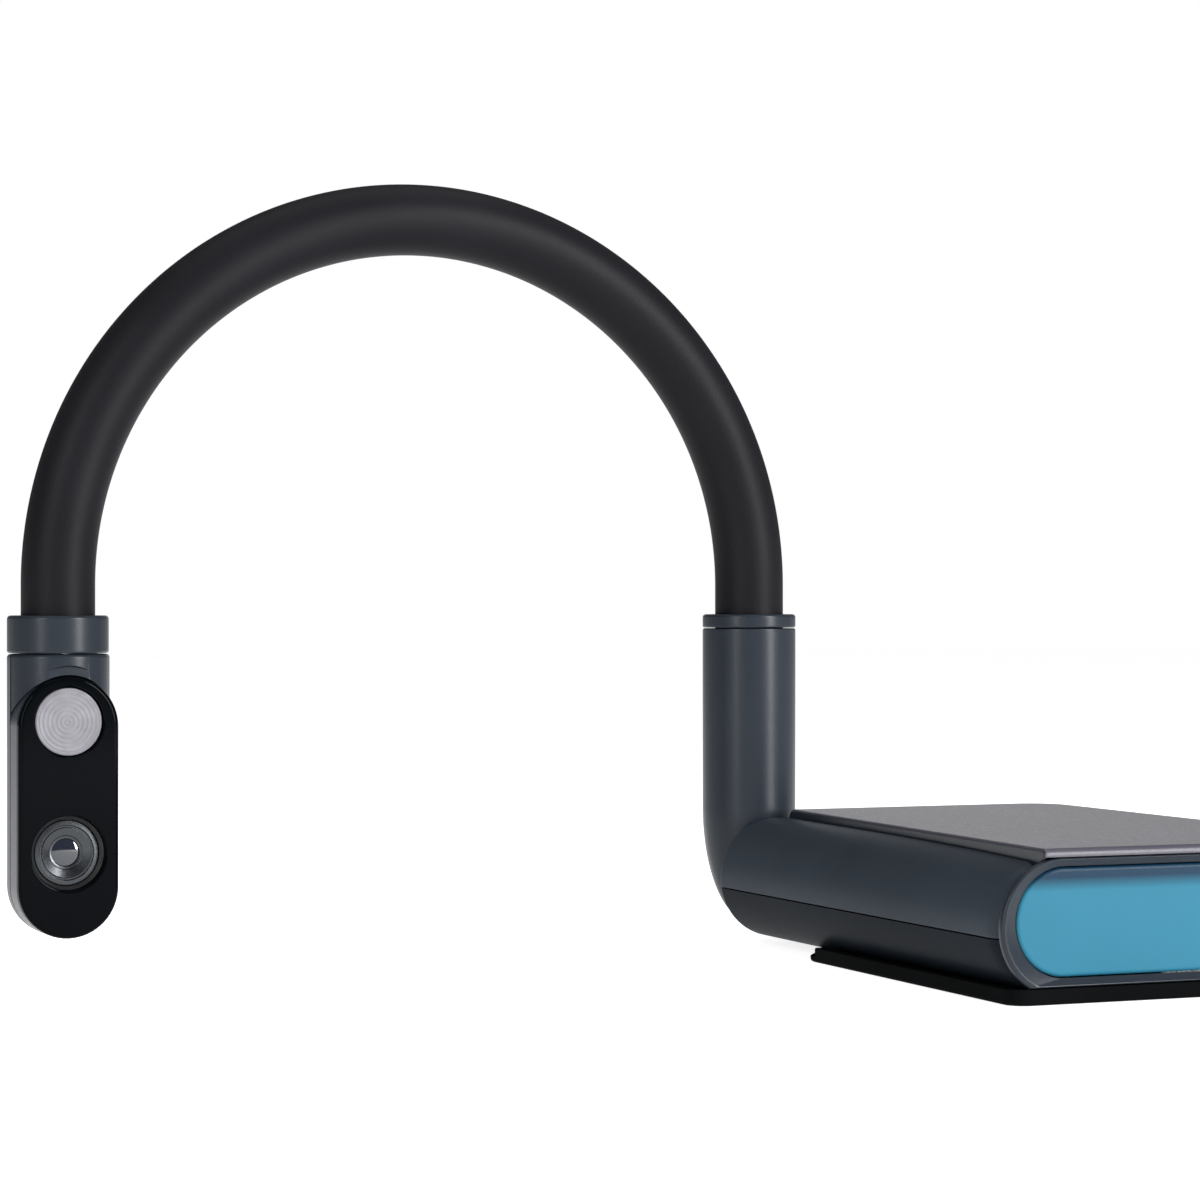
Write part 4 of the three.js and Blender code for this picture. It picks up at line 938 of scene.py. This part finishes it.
def make_lens():
    place = (HEAD_X, LENS_Z)
    outer = (RING_HIGH.x - RING_LOW.x) / 2
    face, rear = RING_LOW.y, RING_HIGH.y
    well_front = FACE_HIGH.y + 0.1
    well = [(11.9, well_front), (12.3, well_front), (12.3, rear), (outer + 0.15, rear),
            (outer + 0.15, face - 0.1)]
    piece(lathe(well, place, "Y", loop=True, segments=96), "lens_well",
          LENS_BLACK, "head")

    throat = 4.6
    ring = filleted([(outer, rear), (outer, face), (outer - 1.6, face - 0.2), (outer - 1.9, face + 0.25),
                     (outer - 2.3, face + 0.25), (outer - 2.6, face), (throat + 1, face + 1.1),
                     (throat + 0.7, face + 1.4), (throat, face + 1.5), (throat, face + 1.9),
                     (throat + 1.6, rear)],
                    [0, 0.4, 0.2, 0.1, 0.1, 0.1, 0.1, 0.1, 0.1, 0, 0], closed=True, steps=4)
    piece(lathe(ring, place, "Y", loop=True, segments=128), "lens_bezel", LENS_METAL,
          "head", ["lens_ring"])

    glass = (LENS_HIGH.x - LENS_LOW.x) / 2 - 0.2
    crown, bulge, steps = LENS_LOW.y + 0.9, 1.1, 14
    angles = [math.pi / 2 * i / steps for i in range(steps + 1)]
    dome = [(glass * math.sin(angle), crown + bulge * (1 - math.cos(angle))) for angle in angles]
    piece(lathe([*dome, (glass, LENS_HIGH.y), (0, LENS_HIGH.y)], place, "Y"), "lens_glass_dome",
          GLASS, "head", ["front_lens"])


# ---- studio ---------------------------------------------------------------------------------

CAMERA_PLACE = Vector((-547.9, -959.9, 119.0))
CAMERA_TURN = -22.44                      # degrees about +Z
FOCAL_LENGTH = 100.77                     # millimetres, on a sensor 36 wide
BACKDROP_DIRECTION = (0.38, 0.92, 0)      # a white backdrop stands behind the part, the room is dimmer


def make_camera():
    data = bpy.data.cameras.new("camera")
    data.sensor_width = 36
    data.lens = FOCAL_LENGTH
    data.clip_start, data.clip_end = 0.05, 20
    camera = bpy.data.objects.new("camera", data)
    bpy.context.scene.collection.objects.link(camera)
    camera.location = CAMERA_PLACE * MM
    camera.rotation_euler = (math.radians(90), 0, math.radians(CAMERA_TURN))
    bpy.context.scene.camera = camera


def area_light(name, place, size, power):
    """A soft light that faces the middle of the part."""
    target = Vector((-0.12, 0.1, 0.1))
    data = bpy.data.lights.new(name, "AREA")
    data.shape = "RECTANGLE"
    data.size, data.size_y = size
    data.energy = power
    light = bpy.data.objects.new(name, data)
    bpy.context.scene.collection.objects.link(light)
    light.location = place
    light.rotation_euler = (target - Vector(place)).to_track_quat("-Z", "Y").to_euler()


def make_world():
    world = bpy.data.worlds.new("studio")
    bpy.context.scene.world = world
    world.use_nodes = True
    tree = world.node_tree
    direction = tree.nodes.new("ShaderNodeTexCoord")
    facing = tree.nodes.new("ShaderNodeVectorMath")
    facing.operation = "DOT_PRODUCT"
    facing.inputs[1].default_value = BACKDROP_DIRECTION
    tree.links.new(direction.outputs["Generated"], facing.inputs[0])
    tone = between(tree, facing.outputs["Value"], 0, 1, 0.92, 0.965)
    sky = mixed_colour(tree, tone, (0.18, 0.18, 0.19), (1, 1, 1))
    tree.links.new(sky, tree.nodes["Background"].inputs["Color"])


def make_floor():
    mesh = bpy.data.meshes.new("floor")
    form = bmesh.new()
    bmesh.ops.create_grid(form, x_segments=1, y_segments=1, size=6)
    form.to_mesh(mesh)
    form.free()
    floor = bpy.data.objects.new("floor", mesh)
    bpy.context.scene.collection.objects.link(floor)
    material, tree, shader = new_material("floor")
    tone = object_noise(tree, 2.0)
    tree.links.new(mixed_colour(tree, tone.outputs["Fac"], (0.9, 0.9, 0.9), (0.92, 0.92, 0.92)),
                   shader.inputs["Base Color"])
    shader.inputs["Roughness"].default_value = 0.9
    shader.inputs["Emission Color"].default_value = (1, 1, 1, 1)
    shader.inputs["Emission Strength"].default_value = 0.8
    mesh.materials.append(material)
    floor.location.z = -0.0002


def make_studio():
    bpy.context.scene.view_settings.view_transform = "Standard"
    make_world()
    make_floor()
    area_light("softbox_left", place=(-1.6, -0.9, 0.7), size=(0.3, 1.3), power=18)
    area_light("softbox_right", place=(0.9, -1.5, 0.7), size=(0.3, 1.3), power=64)
    area_light("overhead", place=(-0.1, 0.2, 1.6), size=(1.4, 1.2), power=7)


make_spine()
make_tray()
make_deck()
make_near_end()
make_foot()
make_controls()
make_ports()
make_post()
make_gooseneck()
make_neck_collar()
make_head_rear()
make_head_front()
make_lamp()
make_lens()
make_camera()
make_studio()
